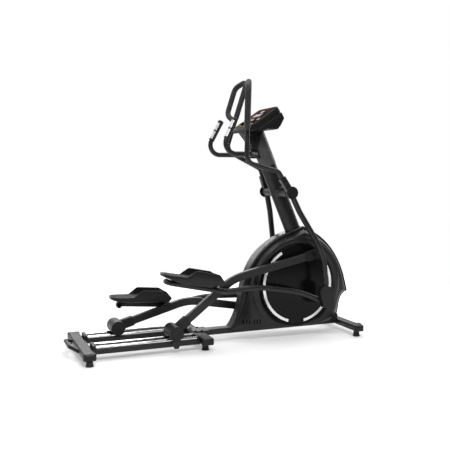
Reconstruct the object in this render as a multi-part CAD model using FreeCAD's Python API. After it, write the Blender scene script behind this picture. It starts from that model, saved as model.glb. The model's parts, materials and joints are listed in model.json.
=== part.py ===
"""Elliptical trainer: front drive, rear rollers on chromed rails, moving and fixed handlebars.

Frame: millimetres, +X towards the drive housing, +Y to the user's left, +Z up.
The origin is on the floor, under the middle of the machine's outer box.
Each side is drawn once for the left (+Y) and mirrored for the right.
"""
import FreeCAD
import Part
import math
import os
from FreeCAD import Vector

# ---- Linkage -------------------------------------------------------------
CRANK_X, CRANK_Z = 572.0, 381.0        # crank axle
CRANK_RADIUS = 242.0
RIGHT_PIN_PHASE = 63.0                 # degrees above +X, right crank pin at rest
ROLLER_AXLE_Z = 130.0
ARM_LENGTH = 1144.0                    # roller axle to crank pin
ARM_LEG_RISE = 13.95                   # lower leg above the chord, degrees
ARM_NOSE_DROP = 11.65                  # upper part below the chord, degrees
PEDAL_PIVOT_REACH = 420.0              # roller axle to pedal pivot, along the lower leg
LINK_LENGTH = 796.0                    # pedal pivot to swing arm joint
SWING_X, SWING_Z = 471.0, 1038.0       # swing arm pivot
SWING_LENGTH = 830.0

# ---- Planes across the machine, distance from the middle ------------------
SHROUD_EDGE_Y = 48.0                   # half width at the outer rim of the housing
SHROUD_FACE_Y = 112.0                  # half width round the disc
RIM_FACE_Y = 120.0
CRANK_ARM_Y = (88.0, 106.0)
DISC_Y = (106.0, 118.0)
PIN_BOSS_Y = 128.5
ARM_Y = (129.5, 169.5)
ARM_MID_Y = 149.5
LINK_Y = 201.0
SWING_JOINT_Y = 243.0
SWING_HUB_Y = 193.0
RISER_Y = 270.0
LOOP_Y = 360.0

# ---- Tubes, wheels and other stock sizes ----------------------------------
ARM_HEIGHT, ARM_WALL = 53.0, 2.5
ARM_EYE_R = 20.0
LINK_TUBE_R = 19.0
SWING_TUBE_R = 20.0
HANDLE_TUBE_R = 16.5
FOAM_R = 20.0
FIXED_GRIP_R = 19.5
PULSE_PLATE_R = 20.3
TUBE_WALL = 2.0
ROD_R = 9.0
ROD_Y = (101.0, 189.0)
ROD_Z = 86.0
WHEEL_RIM_R, WHEEL_GROOVE_R = 42.0, 34.7
AXLE_R = 8.0
PIVOT_R = 10.0
RUNNING_GAP = 0.06
DISC_R, OPENING_R = 285.0, 289.0
MAST_LEAN = 23.3                       # degrees to the rear
MAST_HALF_DEPTH, MAST_HALF_WIDTH = 59.0, 38.0
FLYWHEEL_X, FLYWHEEL_Z, FLYWHEEL_R = 815.0, 335.0, 120.0
BRAKE_PIVOT_ANGLE, BRAKE_PIVOT_REACH = 124.0, 140.0
PULLEY_R, SMALL_PULLEY_R = 150.0, 24.0
PULLEY_Y = (50.0, 62.0)

REAR_BEAM = (-985.0, -905.0, 300.0, 327.0, 35.0, 80.0)
MID_BEAM = (-197.0, -117.0, 240.0, 264.0, 42.0, 88.0)
FRONT_BEAM = (953.0, 1021.0, 270.0, 295.0, 40.0, 86.0)
FEET = ((-945.0, 296.0, 35.0), (-157.0, 192.0, 42.0), (987.0, 240.0, 40.0))
FRONT_WHEEL_X, FRONT_WHEEL_Z, FRONT_WHEEL_R = 1018.0, 62.0, 27.0
FRONT_WHEEL_Y = (206.0, 230.0)
FRONT_WHEEL_AXLE_R = 6.0
FIXED_BAR_X, FIXED_BAR_Z = 268.0, 1302.0
INLET_X, INLET_Z = 905.0, 122.0

Y_AXIS = Vector(0, 1, 0)
Z_AXIS = Vector(0, 0, 1)
ORIGIN = Vector(0, 0, 0)

nodes = {}


# ---- Small helpers ---------------------------------------------------------
def box(x0, x1, y0, y1, z0, z1):
    return Part.makeBox(x1 - x0, y1 - y0, z1 - z0, Vector(x0, y0, z0))


def rod(start, end, radius):
    direction = end - start
    return Part.makeCylinder(radius, direction.Length, start, direction)


def disc_y(x, z, radius, y0, y1):
    return Part.makeCylinder(radius, y1 - y0, Vector(x, y0, z), Y_AXIS)


def ring_y(x, z, outer, inner, y0, y1):
    return disc_y(x, z, outer, y0, y1).cut(disc_y(x, z, inner, y0 - 1, y1 + 1))


def prism_xz(points, y0, y1):
    corners = [Vector(x, y0, z) for x, z in points]
    face = Part.Face(Part.makePolygon(corners + corners[:1]))
    return face.extrude(Vector(0, y1 - y0, 0))


def prism_face(wire, height_y):
    return Part.Face(wire).extrude(Vector(0, height_y, 0))


def round_along(shape, axis, radius):
    """Round the straight edges of a block that run along one axis."""
    edges = []
    for edge in shape.Edges:
        if len(edge.Vertexes) == 2:
            span = edge.Vertexes[1].Point - edge.Vertexes[0].Point
            if abs(abs(span.normalize().dot(axis)) - 1.0) < 1e-6:
                edges.append(edge)
    return shape.makeFillet(radius, edges)


def route(points, radii):
    """A path of straight runs joined by tangent arcs; radii belong to the inner points."""
    edges = []
    here = points[0]
    for before, corner, after, radius in zip(points, points[1:], points[2:], radii):
        inward = (before - corner).normalize()
        outward = (after - corner).normalize()
        half = math.acos(max(-1.0, min(1.0, inward.dot(outward)))) / 2.0
        reach = radius / math.tan(half)
        start = corner + inward * reach
        end = corner + outward * reach
        middle_axis = (inward + outward).normalize()
        middle = corner + middle_axis * (radius / math.sin(half) - radius)
        edges.append(Part.LineSegment(here, start).toShape())
        edges.append(Part.Arc(start, middle, end).toShape())
        here = end
    edges.append(Part.LineSegment(here, points[-1]).toShape())
    return Part.Wire(edges)


def sweep_round(points, radii, radius):
    path = route(points, radii)
    direction = points[1] - points[0]
    profile = Part.Wire(Part.makeCircle(radius, points[0], direction))
    return path.makePipeShell([profile], True, False)


def bent_tube(points, radii, radius, wall=TUBE_WALL):
    return sweep_round(points, radii, radius).cut(sweep_round(points, radii, radius - wall))


def turn(shape, x, z, degrees):
    """Move a piece drawn about the origin to a pivot; positive lifts its +X end."""
    moved = shape.copy()
    moved.rotate(ORIGIN, Vector(0, -1, 0), degrees)
    moved.translate(Vector(x, 0, z))
    return moved


def on_side(shape, side):
    return shape if side == "left" else shape.mirror(ORIGIN, Y_AXIS)


def both_sides(shape):
    return [shape, shape.mirror(ORIGIN, Y_AXIS)]


def add(name, *shapes):
    nodes[name] = shapes[0] if len(shapes) == 1 else Part.makeCompound(list(shapes))


def fused(first, *others):
    return first.multiFuse(list(others)).removeSplitter()


def direction_xz(degrees):
    angle = math.radians(degrees)
    return math.cos(angle), math.sin(angle)


# ---- Linkage positions at rest ---------------------------------------------
def linkage(phase):
    """Pivots of one side's linkage for a crank pin phase in degrees."""
    cos_phase, sin_phase = direction_xz(phase)
    pin_x = CRANK_X + CRANK_RADIUS * cos_phase
    pin_z = CRANK_Z + CRANK_RADIUS * sin_phase
    rise = pin_z - ROLLER_AXLE_Z
    roller_x = pin_x - math.sqrt(ARM_LENGTH ** 2 - rise ** 2)
    tilt = math.degrees(math.asin(rise / ARM_LENGTH))
    leg_cos, leg_sin = direction_xz(tilt + ARM_LEG_RISE)
    pivot_x = roller_x + PEDAL_PIVOT_REACH * leg_cos
    pivot_z = ROLLER_AXLE_Z + PEDAL_PIVOT_REACH * leg_sin
    span_x, span_z = SWING_X - pivot_x, SWING_Z - pivot_z
    span = math.hypot(span_x, span_z)
    along = (LINK_LENGTH ** 2 - SWING_LENGTH ** 2 + span ** 2) / (2.0 * span)
    across = math.sqrt(LINK_LENGTH ** 2 - along ** 2)
    joint_x = pivot_x + (along * span_x + across * span_z) / span
    joint_z = pivot_z + (along * span_z - across * span_x) / span
    return {
        "pin": (pin_x, pin_z),
        "roller": (roller_x, ROLLER_AXLE_Z),
        "tilt": tilt,
        "pivot": (pivot_x, pivot_z),
        "joint": (joint_x, joint_z),
        "link_angle": math.degrees(math.atan2(joint_z - pivot_z, joint_x - pivot_x)),
        "swing_angle": math.degrees(math.atan2(joint_x - SWING_X, SWING_Z - joint_z)),
    }


# ---- Base frame --------------------------------------------------------------
def beam(spec, radius, wall=2.5):
    """Hollow cross tube, without its caps."""
    x0, x1, half, _, z0, z1 = spec
    outer = round_along(box(x0, x1, -half, half, z0, z1), Y_AXIS, radius)
    inner = round_along(box(x0 + wall, x1 - wall, -half, half, z0 + wall, z1 - wall), Y_AXIS, radius - wall)
    return outer.cut(inner)


def beam_cap(spec, radius, plan_radius):
    """Solid plastic cap on the +Y end of a cross tube, rounded in plan."""
    x0, x1, start, end, z0, z1 = spec
    body = round_along(box(x0, x1, start, end, z0, z1), Y_AXIS, radius)
    plan = round_along(box(x0, x1, start - 2 * plan_radius, end, z0, z1), Z_AXIS, plan_radius)
    return body.common(plan)


def front_stabiliser():
    """Front cross tube, slotted for two transport wheels that turn on fixed axles."""
    tube = beam(FRONT_BEAM, 14.0)
    y0, y1 = FRONT_WHEEL_Y
    for sign in (1, -1):
        slot = box(FRONT_WHEEL_X - 30, FRONT_BEAM[1] + 1, y0 - 3, y1 + 3, 30, 95)
        lugs = [box(FRONT_WHEEL_X - 18, FRONT_WHEEL_X + 10, y, y + 6, 50, 74) for y in (y0 - 9, y1 + 3)]
        axle = disc_y(FRONT_WHEEL_X, FRONT_WHEEL_Z, FRONT_WHEEL_AXLE_R, y0 - 9, y1 + 9)
        extra = fused(axle, *lugs)
        if sign < 0:
            slot, extra = slot.mirror(ORIGIN, Y_AXIS), extra.mirror(ORIGIN, Y_AXIS)
        tube = fused(tube.cut(slot), extra)
    return tube


def add_base():
    caps = []
    for spec, radius in ((REAR_BEAM, 15.0), (MID_BEAM, 14.0), (FRONT_BEAM, 14.0)):
        caps += both_sides(beam_cap(spec, radius, 25.0))
    add("rear_beam", beam(REAR_BEAM, 15.0))
    add("mid_beam", beam(MID_BEAM, 14.0))
    add("front_stabiliser", front_stabiliser())
    add("beam_end_caps", *caps)

    handle_points = [Vector(REAR_BEAM[0], 140, 60), Vector(-1032.5, 85, 80),
                     Vector(-1032.5, -85, 80), Vector(REAR_BEAM[0], -140, 60)]
    clear_beam = box(REAR_BEAM[0], -900, -200, 200, 30, 90)
    add("transport_handle", bent_tube(handle_points, [35, 35], 12.5).cut(clear_beam))

    rail = box(REAR_BEAM[1], MID_BEAM[0], 95, 200, 42, 76)
    rail_inside = box(REAR_BEAM[1], MID_BEAM[0], 97.5, 197.5, 44.5, 73.5)
    add("rail_tubes", *both_sides(round_along(rail, Vector(1, 0, 0), 5).cut(rail_inside)))

    rod_ends = (REAR_BEAM[1] + 4, MID_BEAM[0] - 4)
    rods = []
    for y in ROD_Y:
        rods += both_sides(rod(Vector(rod_ends[0], y, ROD_Z), Vector(rod_ends[1], y, ROD_Z), ROD_R))
    add("rail_rods", *rods)

    holders = []
    for x0 in (REAR_BEAM[1], MID_BEAM[0] - 20):
        block = round_along(box(x0, x0 + 20, 86, 204, 76, 99), Vector(1, 0, 0), 8)
        for y in ROD_Y:
            block = block.cut(rod(Vector(rod_ends[0], y, ROD_Z), Vector(rod_ends[1], y, ROD_Z), ROD_R))
        holders += both_sides(block)
    add("rail_rod_holders", *holders)

    tube = round_along(box(MID_BEAM[1], FRONT_BEAM[0], -40, 40, 56, 96), Vector(1, 0, 0), 6)
    hollow = box(MID_BEAM[1], FRONT_BEAM[0], -37.5, 37.5, 58.5, 93.5)
    plate = round_along(box(MID_BEAM[0] + 6, MID_BEAM[1] + 40, -62, 62, 88, 96), Z_AXIS, 8)
    plate = plate.cut(box(MID_BEAM[1], MID_BEAM[1] + 60, -40, 40, 80, 100))
    add("base_tube", fused(tube.cut(hollow), plate))

    feet = []
    for x, y, top in FEET:
        pad = Part.makeCylinder(25, 9, Vector(x, y, 0))
        flare = Part.makeCone(24, 12, 7, Vector(x, y, 9))
        stud = Part.makeCylinder(6, top - 16, Vector(x, y, 16))
        nut = Part.makeCylinder(13, 6, Vector(x, y, top - 6))
        feet += both_sides(fused(pad, flare, stud, nut))
    add("levelling_feet", *feet)


def add_front_wheels():
    """Two transport wheels at the front edge of the front stabiliser."""
    bore = FRONT_WHEEL_AXLE_R + RUNNING_GAP
    rim_length = 2 * math.pi * FRONT_WHEEL_R
    for side in ("left", "right"):
        wheel = ring_y(FRONT_WHEEL_X, FRONT_WHEEL_Z, FRONT_WHEEL_R, bore, *FRONT_WHEEL_Y)
        wheel = wheel.makeChamfer(2.5, [e for e in wheel.Edges if abs(e.Length - rim_length) < 1e-3])
        nodes["transport_wheel_" + side] = on_side(wheel, side)


# ---- Inner frame and drive ----------------------------------------------------
def mast_x(z):
    """Middle of the mast at a height; the mast's middle line passes the swing arm pivot."""
    return SWING_X - (z - SWING_Z) * math.tan(math.radians(MAST_LEAN))


def mast_bar(half_depth, half_width, z0, z1):
    """Oval bar along the mast's leaning middle line."""
    lean = math.radians(MAST_LEAN)
    along = Vector(-math.sin(lean), 0, math.cos(lean))
    across = Vector(math.cos(lean), 0, math.sin(lean))
    base = Vector(mast_x(z0), 0, z0)
    oval = Part.Ellipse(base + across * half_depth, base + Y_AXIS * half_width, base)
    face = Part.Face(Part.Wire(oval.toShape()))
    return face.extrude(along * ((z1 - z0) / math.cos(lean)))


def flywheel_brackets():
    """Two plates that carry the flywheel shaft and the brake's pivot pin."""
    pin_x, pin_z = brake_pivot()
    brackets = []
    for y in (22.0, -28.0):
        outline = [(770, 96), (860, 96), (838, 350), (792, 350)]
        arm = [(792, 345), (838, 345), (pin_x + 12, pin_z + 4), (pin_x - 10, pin_z + 10),
               (pin_x - 12, pin_z - 8)]
        plate = prism_xz(outline, y, y + 6).fuse(prism_xz(arm, y, y + 6)).removeSplitter()
        brackets.append(plate.cut(disc_y(FLYWHEEL_X, FLYWHEEL_Z, 7 + RUNNING_GAP, y - 1, y + 7)))
    return [fused(brackets[0], brackets[1], disc_y(pin_x, pin_z, 4, -28, 28))]


def brake_pivot():
    cos_p, sin_p = direction_xz(BRAKE_PIVOT_ANGLE)
    return FLYWHEEL_X + BRAKE_PIVOT_REACH * cos_p, FLYWHEEL_Z + BRAKE_PIVOT_REACH * sin_p


def add_inner_frame():
    plate_outline = [(500, 96), (690, 96), (668, 560), (662, 693), (566, 693), (540, 560)]
    plates = []
    for y in (34.0, -40.0):
        plate = prism_xz(plate_outline, y, y + 6)
        plate = plate.cut(disc_y(CRANK_X, CRANK_Z, 32, y - 1, y + 7))
        for z, radius in ((210, 34), (560, 26)):
            plate = plate.cut(disc_y(mast_x(z) - 155 + z * 0.29, z, radius, y - 1, y + 7))
        plates.append(plate)
    bearing_shell = ring_y(CRANK_X, CRANK_Z, 32, 26, -44, 44)
    top_plate = box(556, 672, -42, 42, 693, 701)
    add("inner_frame", fused(bearing_shell, top_plate, *plates), *flywheel_brackets())

    add("crank_bearings", *both_sides(ring_y(CRANK_X, CRANK_Z, 26, 10, 28, 44)))


def add_crankset():
    axle = disc_y(CRANK_X, CRANK_Z, 10 - RUNNING_GAP, -88, 88)
    right_pin = linkage(RIGHT_PIN_PHASE)["pin"]
    left_pin = linkage(RIGHT_PIN_PHASE + 180)["pin"]
    arms = []
    for pin, sign in ((left_pin, 1), (right_pin, -1)):
        y0, y1 = CRANK_ARM_Y
        hub = disc_y(CRANK_X, CRANK_Z, 30, y0, y1)
        eye = disc_y(pin[0], pin[1], 22, y0, y1)
        cos_pin = (pin[0] - CRANK_X) / CRANK_RADIUS
        sin_pin = (pin[1] - CRANK_Z) / CRANK_RADIUS
        blade = prism_xz([(CRANK_X - 27 * sin_pin, CRANK_Z + 27 * cos_pin),
                          (CRANK_X + 27 * sin_pin, CRANK_Z - 27 * cos_pin),
                          (pin[0] + 20 * sin_pin, pin[1] - 20 * cos_pin),
                          (pin[0] - 20 * sin_pin, pin[1] + 20 * cos_pin)], y0, y1)
        boss = disc_y(pin[0], pin[1], 18, y1 - 2, PIN_BOSS_Y)
        arm = fused(hub, eye, blade, boss)
        arms.append(arm if sign > 0 else arm.mirror(ORIGIN, Y_AXIS))
    add("crankshaft", fused(axle, *arms))

    discs = []
    for pin, sign in ((left_pin, 1), (right_pin, -1)):
        y0, y1 = DISC_Y
        disc = disc_y(CRANK_X, CRANK_Z, DISC_R, y0, y1)
        disc = disc.makeFillet(3, [e for e in disc.Edges if e.Length > 1000 and e.BoundBox.YMin > y1 - 1])
        disc = disc.cut(disc_y(pin[0], pin[1], 18, y0 - 1, y1 + 1))
        inside = disc_y(CRANK_X, CRANK_Z, DISC_R - 12, y0 - 1, y1 - 3)
        pocket = inside.cut(disc_y(CRANK_X, CRANK_Z, 44, y0 - 2, y1))
        pocket = pocket.cut(disc_y(pin[0], pin[1], 30, y0 - 2, y1))
        disc = disc.cut(pocket)
        discs.append(disc if sign > 0 else disc.mirror(ORIGIN, Y_AXIS))
    add("crank_discs", *discs)

    y0, y1 = PULLEY_Y
    pulley = ring_y(CRANK_X, CRANK_Z, PULLEY_R, 10 - RUNNING_GAP, y0, y1)
    for spoke in range(5):
        cos_hole, sin_hole = direction_xz(72 * spoke + 20)
        pulley = pulley.cut(disc_y(CRANK_X + 92 * cos_hole, CRANK_Z + 92 * sin_hole, 32, y0 - 1, y1 + 1))
    add("drive_pulley", pulley)


def tangent_loop(radius_a, radius_b, y0, y1):
    """Solid bounded by the open belt line round both pulleys."""
    a = Vector(CRANK_X, y0, CRANK_Z)
    b = Vector(FLYWHEEL_X, y0, FLYWHEEL_Z)
    span = b - a
    heading = math.atan2(span.z, span.x)
    spread = math.acos((radius_a - radius_b) / span.Length)

    def rim(centre, radius, angle):
        return centre + Vector(math.cos(angle), 0, math.sin(angle)) * radius

    top_a, top_b = rim(a, radius_a, heading + spread), rim(b, radius_b, heading + spread)
    low_a, low_b = rim(a, radius_a, heading - spread), rim(b, radius_b, heading - spread)
    wire = Part.Wire([
        Part.LineSegment(top_a, top_b).toShape(),
        Part.Arc(top_b, rim(b, radius_b, heading), low_b).toShape(),
        Part.LineSegment(low_b, low_a).toShape(),
        Part.Arc(low_a, rim(a, radius_a, heading + math.pi), top_a).toShape(),
    ])
    return prism_face(wire, y1 - y0)


def add_drive():
    y0, y1 = PULLEY_Y
    gap, thickness = 0.35, 3.0
    outside = tangent_loop(PULLEY_R + gap + thickness, SMALL_PULLEY_R + gap + thickness, y0, y1)
    inside = tangent_loop(PULLEY_R + gap, SMALL_PULLEY_R + gap, y0, y1)
    add("drive_belt", outside.cut(inside))

    rim = ring_y(FLYWHEEL_X, FLYWHEEL_Z, FLYWHEEL_R, 88, -12, 12)
    web = ring_y(FLYWHEEL_X, FLYWHEEL_Z, 89, 7, -4, 4)
    hub = ring_y(FLYWHEEL_X, FLYWHEEL_Z, 20, 7, -14, 14)
    shaft = disc_y(FLYWHEEL_X, FLYWHEEL_Z, 7, -34, 66)
    add("flywheel", fused(rim, web, hub), shaft, ring_y(FLYWHEEL_X, FLYWHEEL_Z, SMALL_PULLEY_R, 7, y0, y1))

    arc_start, arc_end, inner, outer = 62.0, 122.0, 96.0, 133.0
    arc_mid = (arc_start + arc_end) / 2.0
    sector = []
    for radius, angles in ((outer, (arc_start, arc_mid, arc_end)), (inner, (arc_end, arc_mid, arc_start))):
        points = []
        for angle in angles:
            cos_a, sin_a = direction_xz(angle)
            points.append(Vector(FLYWHEEL_X + radius * cos_a, -20, FLYWHEEL_Z + radius * sin_a))
        sector.append(points)
    wire = Part.Wire([
        Part.Arc(*sector[0]).toShape(),
        Part.LineSegment(sector[0][2], sector[1][0]).toShape(),
        Part.Arc(*sector[1]).toShape(),
        Part.LineSegment(sector[1][2], sector[0][0]).toShape(),
    ])
    shoe = prism_face(wire, 40).cut(disc_y(FLYWHEEL_X, FLYWHEEL_Z, 124, -14.5, 14.5))
    pivot_x, pivot_z = brake_pivot()
    ear = ring_y(pivot_x, pivot_z, 12, 4.05, -20, 20)
    shoe = fused(shoe, ear).cut(disc_y(pivot_x, pivot_z, 4.05, -21, 21))
    add("brake_magnet_arm", shoe)
    motor = round_along(box(700, 760, -22, 22, 505, 545), Y_AXIS, 6)
    add("brake_motor", motor)


# ---- Housing --------------------------------------------------------------------
def shroud_outline(shrink, y):
    """Five matched edges of the housing's outer line, drawn towards its middle by a factor."""
    middle_x, middle_z = 572.0, 400.0

    def place(x, z):
        return Vector(middle_x + (x - middle_x) * shrink, y, middle_z + (z - middle_z) * shrink)

    def curve(points):
        line = Part.BSplineCurve()
        line.interpolate([place(x, z) for x, z in points])
        return line.toShape()

    bottom_rear, bottom_front = (68, 72), (868, 72)
    nose, top_front, top_rear = (1026, 300), (651, 792), (505, 742)
    return [
        curve([bottom_rear, bottom_front]),
        curve([bottom_front, (938, 128), (962, 235), nose]),
        curve([nose, (1003, 390), (952, 520), (863, 650), (764, 733), top_front]),
        curve([top_front, top_rear]),
        curve([top_rear, (394, 686), (280, 580), (218, 480), (182, 385), (165, 290), (136, 185),
               bottom_rear]),
    ]


def disc_surround(radius, floor_z, y):
    """Circle round the crank disc, cut off flat at the bottom, as five matched edges."""
    low = math.degrees(math.asin((floor_z - CRANK_Z) / radius))

    def rim(degrees):
        cos_a, sin_a = direction_xz(degrees)
        return Vector(CRANK_X + radius * cos_a, y, CRANK_Z + radius * sin_a)

    def arc(start, end):
        return Part.Arc(rim(start), rim((start + end) / 2.0), rim(end)).toShape()

    return [
        Part.LineSegment(rim(180 - low), rim(low)).toShape(),
        arc(low, -15),
        arc(-15, 74),
        arc(74, 103),
        arc(103, 180 - low),
    ]


def shroud_body(shrink, edge_y, face_y, radius, floor_z):
    """Left half of the housing as a solid: a flat-edged body that swells to the disc's surround."""
    outline = Part.Wire(shroud_outline(shrink, 0.0))
    body = prism_face(outline, edge_y)
    swell = Part.makeLoft([Part.Wire(shroud_outline(shrink, edge_y)),
                           Part.Wire(disc_surround(radius, floor_z, face_y))], True, True)
    return body.fuse(swell)


def add_housing():
    outer = shroud_body(1.0, SHROUD_EDGE_Y, SHROUD_FACE_Y, 322.0, 72.0)
    rim = ring_y(CRANK_X, CRANK_Z, 316, OPENING_R - 5, SHROUD_FACE_Y - 8, RIM_FACE_Y)
    rim = rim.cut(box(0, 1200, 0, 200, 0, 72))
    outer = outer.fuse(rim)
    inner = shroud_body(0.9915, SHROUD_EDGE_Y - 1.5, SHROUD_FACE_Y - 3, 319.0, 74.8)
    shell = outer.cut(inner)
    shell = shell.cut(disc_y(CRANK_X, CRANK_Z, OPENING_R, 95, 130))
    shell = shell.cut(box(40, 1000, -1, 40.6, 50, 96.6))
    shell = shell.cut(mast_bar(MAST_HALF_DEPTH + 1, MAST_HALF_WIDTH + 1, 640, 900))
    for group_x in (143.0, 223.0):
        for slot in range(3):
            x = group_x + 22 * slot
            shell = shell.cut(box(x, x + 8, 40, 130, 122, 154))
    right = shell.mirror(ORIGIN, Y_AXIS).fuse(disc_y(INLET_X, INLET_Z, 24, -80, -58))
    right = right.cut(disc_y(INLET_X, INLET_Z, 19.1, -90, -66))
    right = right.cut(disc_y(INLET_X, INLET_Z, 13.6, -120, -20))
    add("shroud_left", shell)
    add("shroud_right", right)
    flange = disc_y(INLET_X, INLET_Z, 19, -77, -66)
    barrel = disc_y(INLET_X, INLET_Z, 13.5, -66, -44)
    socket = disc_y(INLET_X, INLET_Z, 2.8, -78, -56)
    add("power_inlet", fused(flange, barrel).cut(socket))


# ---- Mast, pivot, console ---------------------------------------------------------
def add_mast():
    tall = mast_bar(MAST_HALF_DEPTH, MAST_HALF_WIDTH, 600, 1600)
    hollow = mast_bar(MAST_HALF_DEPTH - 2.5, MAST_HALF_WIDTH - 2.5, 590, 1610)
    above = prism_xz([(100, 1404), (269, 1404), (326, 1457), (700, 1457), (700, 1800), (100, 1800)], -60, 60)
    below = box(400, 900, -60, 60, 400, 701)
    mast = tall.cut(hollow).cut(above).cut(below)
    mast = mast.cut(disc_y(SWING_X, SWING_Z, 12, -60, 60))
    add("mast", mast)

    add("pivot_shaft", disc_y(SWING_X, SWING_Z, 12, -218, 218))
    cover = ring_y(SWING_X, SWING_Z, 33, 12.4, -168, 168)
    flare = Part.makeCone(46, 33, 40, Vector(SWING_X, 36, SWING_Z), Y_AXIS)
    flares = [f.cut(disc_y(SWING_X, SWING_Z, 12.4, -200, 200)) for f in both_sides(flare)]
    cover = cover.fuse(flares).cut(mast_bar(MAST_HALF_DEPTH, MAST_HALF_WIDTH, 900, 1200))
    halves = [part for part in cover.Solids if abs(part.CenterOfMass.y) > 40]
    add("pivot_cover", *halves)

    clamp_low, clamp_high = FIXED_BAR_Z - 26, FIXED_BAR_Z + 34
    clamp = prism_xz([(FIXED_BAR_X - 24, clamp_low), (mast_x(clamp_low), clamp_low),
                      (mast_x(clamp_high), clamp_high), (FIXED_BAR_X - 24, clamp_high)], -30, 30)
    clamp = clamp.cut(mast_bar(MAST_HALF_DEPTH, MAST_HALF_WIDTH, 1100, 1500))
    clamp = min(clamp.Solids, key=lambda solid: solid.CenterOfMass.x)
    clamp = clamp.cut(disc_y(FIXED_BAR_X, FIXED_BAR_Z, HANDLE_TUBE_R, -40, 40))
    add("handlebar_clamp", clamp)


def fixed_bar_points():
    """Left half of the fixed bar, from the clamp to the tip of the grip."""
    return [Vector(FIXED_BAR_X, 0, FIXED_BAR_Z), Vector(FIXED_BAR_X, 72, FIXED_BAR_Z),
            Vector(190, 150, FIXED_BAR_Z), Vector(-38, 150, FIXED_BAR_Z), Vector(83, 130, 1536)]


def add_fixed_handlebar():
    left = fixed_bar_points()
    right = [Vector(p.x, -p.y, p.z) for p in left]
    points = right[::-1][:-1] + left[1:]
    radii = [72, 60, 55, 55, 60, 72]
    add("fixed_handlebar", bent_tube(points, radii, HANDLE_TUBE_R))

    corner, tip = left[-2], left[-1]
    along = (tip - corner).normalize()
    plates = []
    grip_start = tip - along * 148
    grip_end = tip + along * 6
    sleeve = rod(grip_start, grip_end, FIXED_GRIP_R).cut(rod(grip_start, tip, HANDLE_TUBE_R))
    for first, last in ((-140, -84), (-74, -18)):
        strip = rod(tip + along * first, tip + along * last, PULSE_PLATE_R)
        strip = strip.cut(rod(tip + along * first, tip + along * last, FIXED_GRIP_R))
        rear_half = prism_xz([(-300, 1200), (-300, 1700),
                              (tip.x - 8 + 200 * along.x, tip.z + 200 * along.z),
                              (corner.x - 8, corner.z)], 0, 300)
        plates += both_sides(strip.common(rear_half))
    add("fixed_grips", *both_sides(sleeve))
    add("pulse_plates", *plates)


def add_console():
    back_outline = [(200, 1481), (214, 1457), (282, 1457), (311, 1472), (391, 1472), (416, 1500), (446, 1552),
                    (410, 1608), (402, 1619)]
    back = prism_xz(back_outline, -150, 150)
    back = round_along(back, Y_AXIS, 5)
    hollow = prism_xz([(236, 1490), (278, 1466), (306, 1481), (388, 1481), (408, 1504), (436, 1552),
                       (402, 1600)], -144, 144)

    front_outline = [(200, 1481), (402, 1619), (393, 1633), (188, 1493)]
    front = prism_xz(front_outline, -155, 155)
    slope = math.atan2(1619 - 1481, 402 - 200)
    normal = Vector(-math.sin(slope), 0, math.cos(slope))
    along = Vector(math.cos(slope), 0, math.sin(slope))
    key_size = 9.0
    keys = {}
    for name, y in (("console_key_start", 30.0), ("console_key_stop", -30.0)):
        foot = Vector(200, y, 1481) + along * 42 + normal * 5
        keys[name] = rod(foot, foot + normal * 13.5, key_size)
        front = front.cut(rod(foot - normal * 2.0, foot + normal * 20, key_size + 0.3))
    add("console_front", front)
    for name, key in keys.items():
        add(name, key)

    neck = prism_xz([(150, 1443), (178, 1403), (213, 1352), (244, 1340), (269, 1404), (326, 1457),
                     (322, 1472), (160, 1472)], -46, 46)
    neck = neck.cut(mast_bar(MAST_HALF_DEPTH + 1, MAST_HALF_WIDTH + 1, 1300, 1700))
    add("console_back", back.cut(hollow), neck.cut(back))


# ---- One side's moving parts -------------------------------------------------------
def add_roller(side, rest):
    x, z = rest["roller"]
    axle = disc_y(x, z, AXLE_R, 77, 215)
    plate = prism_xz([(x - 16, z + 14), (x + 16, z + 14), (x + 20, z - 45), (x + 31, z - 58),
                      (x + 31, z - 74), (x + 12, z - 100), (x - 12, z - 100), (x - 31, z - 74),
                      (x - 31, z - 58), (x - 20, z - 45)], 207, 211)
    nub = disc_y(x, z - 94, 5, 192, 208)
    add("roller_carriage_" + side, on_side(fused(axle, plate, nub), side))

    wheels = []
    for y in ROD_Y:
        groove_depth = ROD_R + 0.3
        wheel = ring_y(x, z, WHEEL_RIM_R, AXLE_R + RUNNING_GAP, y - 12, y + 12)
        groove = Part.makeTorus(WHEEL_GROOVE_R + groove_depth, groove_depth, Vector(x, y, z), Y_AXIS)
        wheels.append(on_side(wheel.cut(groove), side))
    add("roller_wheels_" + side, *wheels)


def arm_path():
    leg_cos, leg_sin = direction_xz(ARM_LEG_RISE)
    nose_cos, nose_sin = direction_xz(ARM_NOSE_DROP)
    nose = ARM_LENGTH * leg_sin / (leg_sin * nose_cos + leg_cos * nose_sin)
    bend = Vector(ARM_LENGTH - nose * nose_cos, ARM_MID_Y, nose * nose_sin)
    return [Vector(0, ARM_MID_Y, 0), bend, Vector(ARM_LENGTH, ARM_MID_Y, 0)]


def rect_sweep(points, radii, height, width, corner):
    """Sweep an upright rounded rectangle along a path that stays in one XZ plane."""
    start = points[0]
    along = (points[1] - points[0]).normalize()
    up = Vector(-along.z, 0, along.x)
    blank = box(0, 1, -width / 2, width / 2, -height / 2, height / 2)
    blank = round_along(blank, Vector(1, 0, 0), corner)
    face = [f for f in blank.Faces if abs(f.CenterOfMass.x) < 1e-6][0]
    profile = face.OuterWire.copy()
    profile.rotate(ORIGIN, Vector(0, -1, 0), math.degrees(math.atan2(-up.x, up.z)))
    profile.translate(start)
    return route(points, radii).makePipeShell([profile], True, False)


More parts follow.
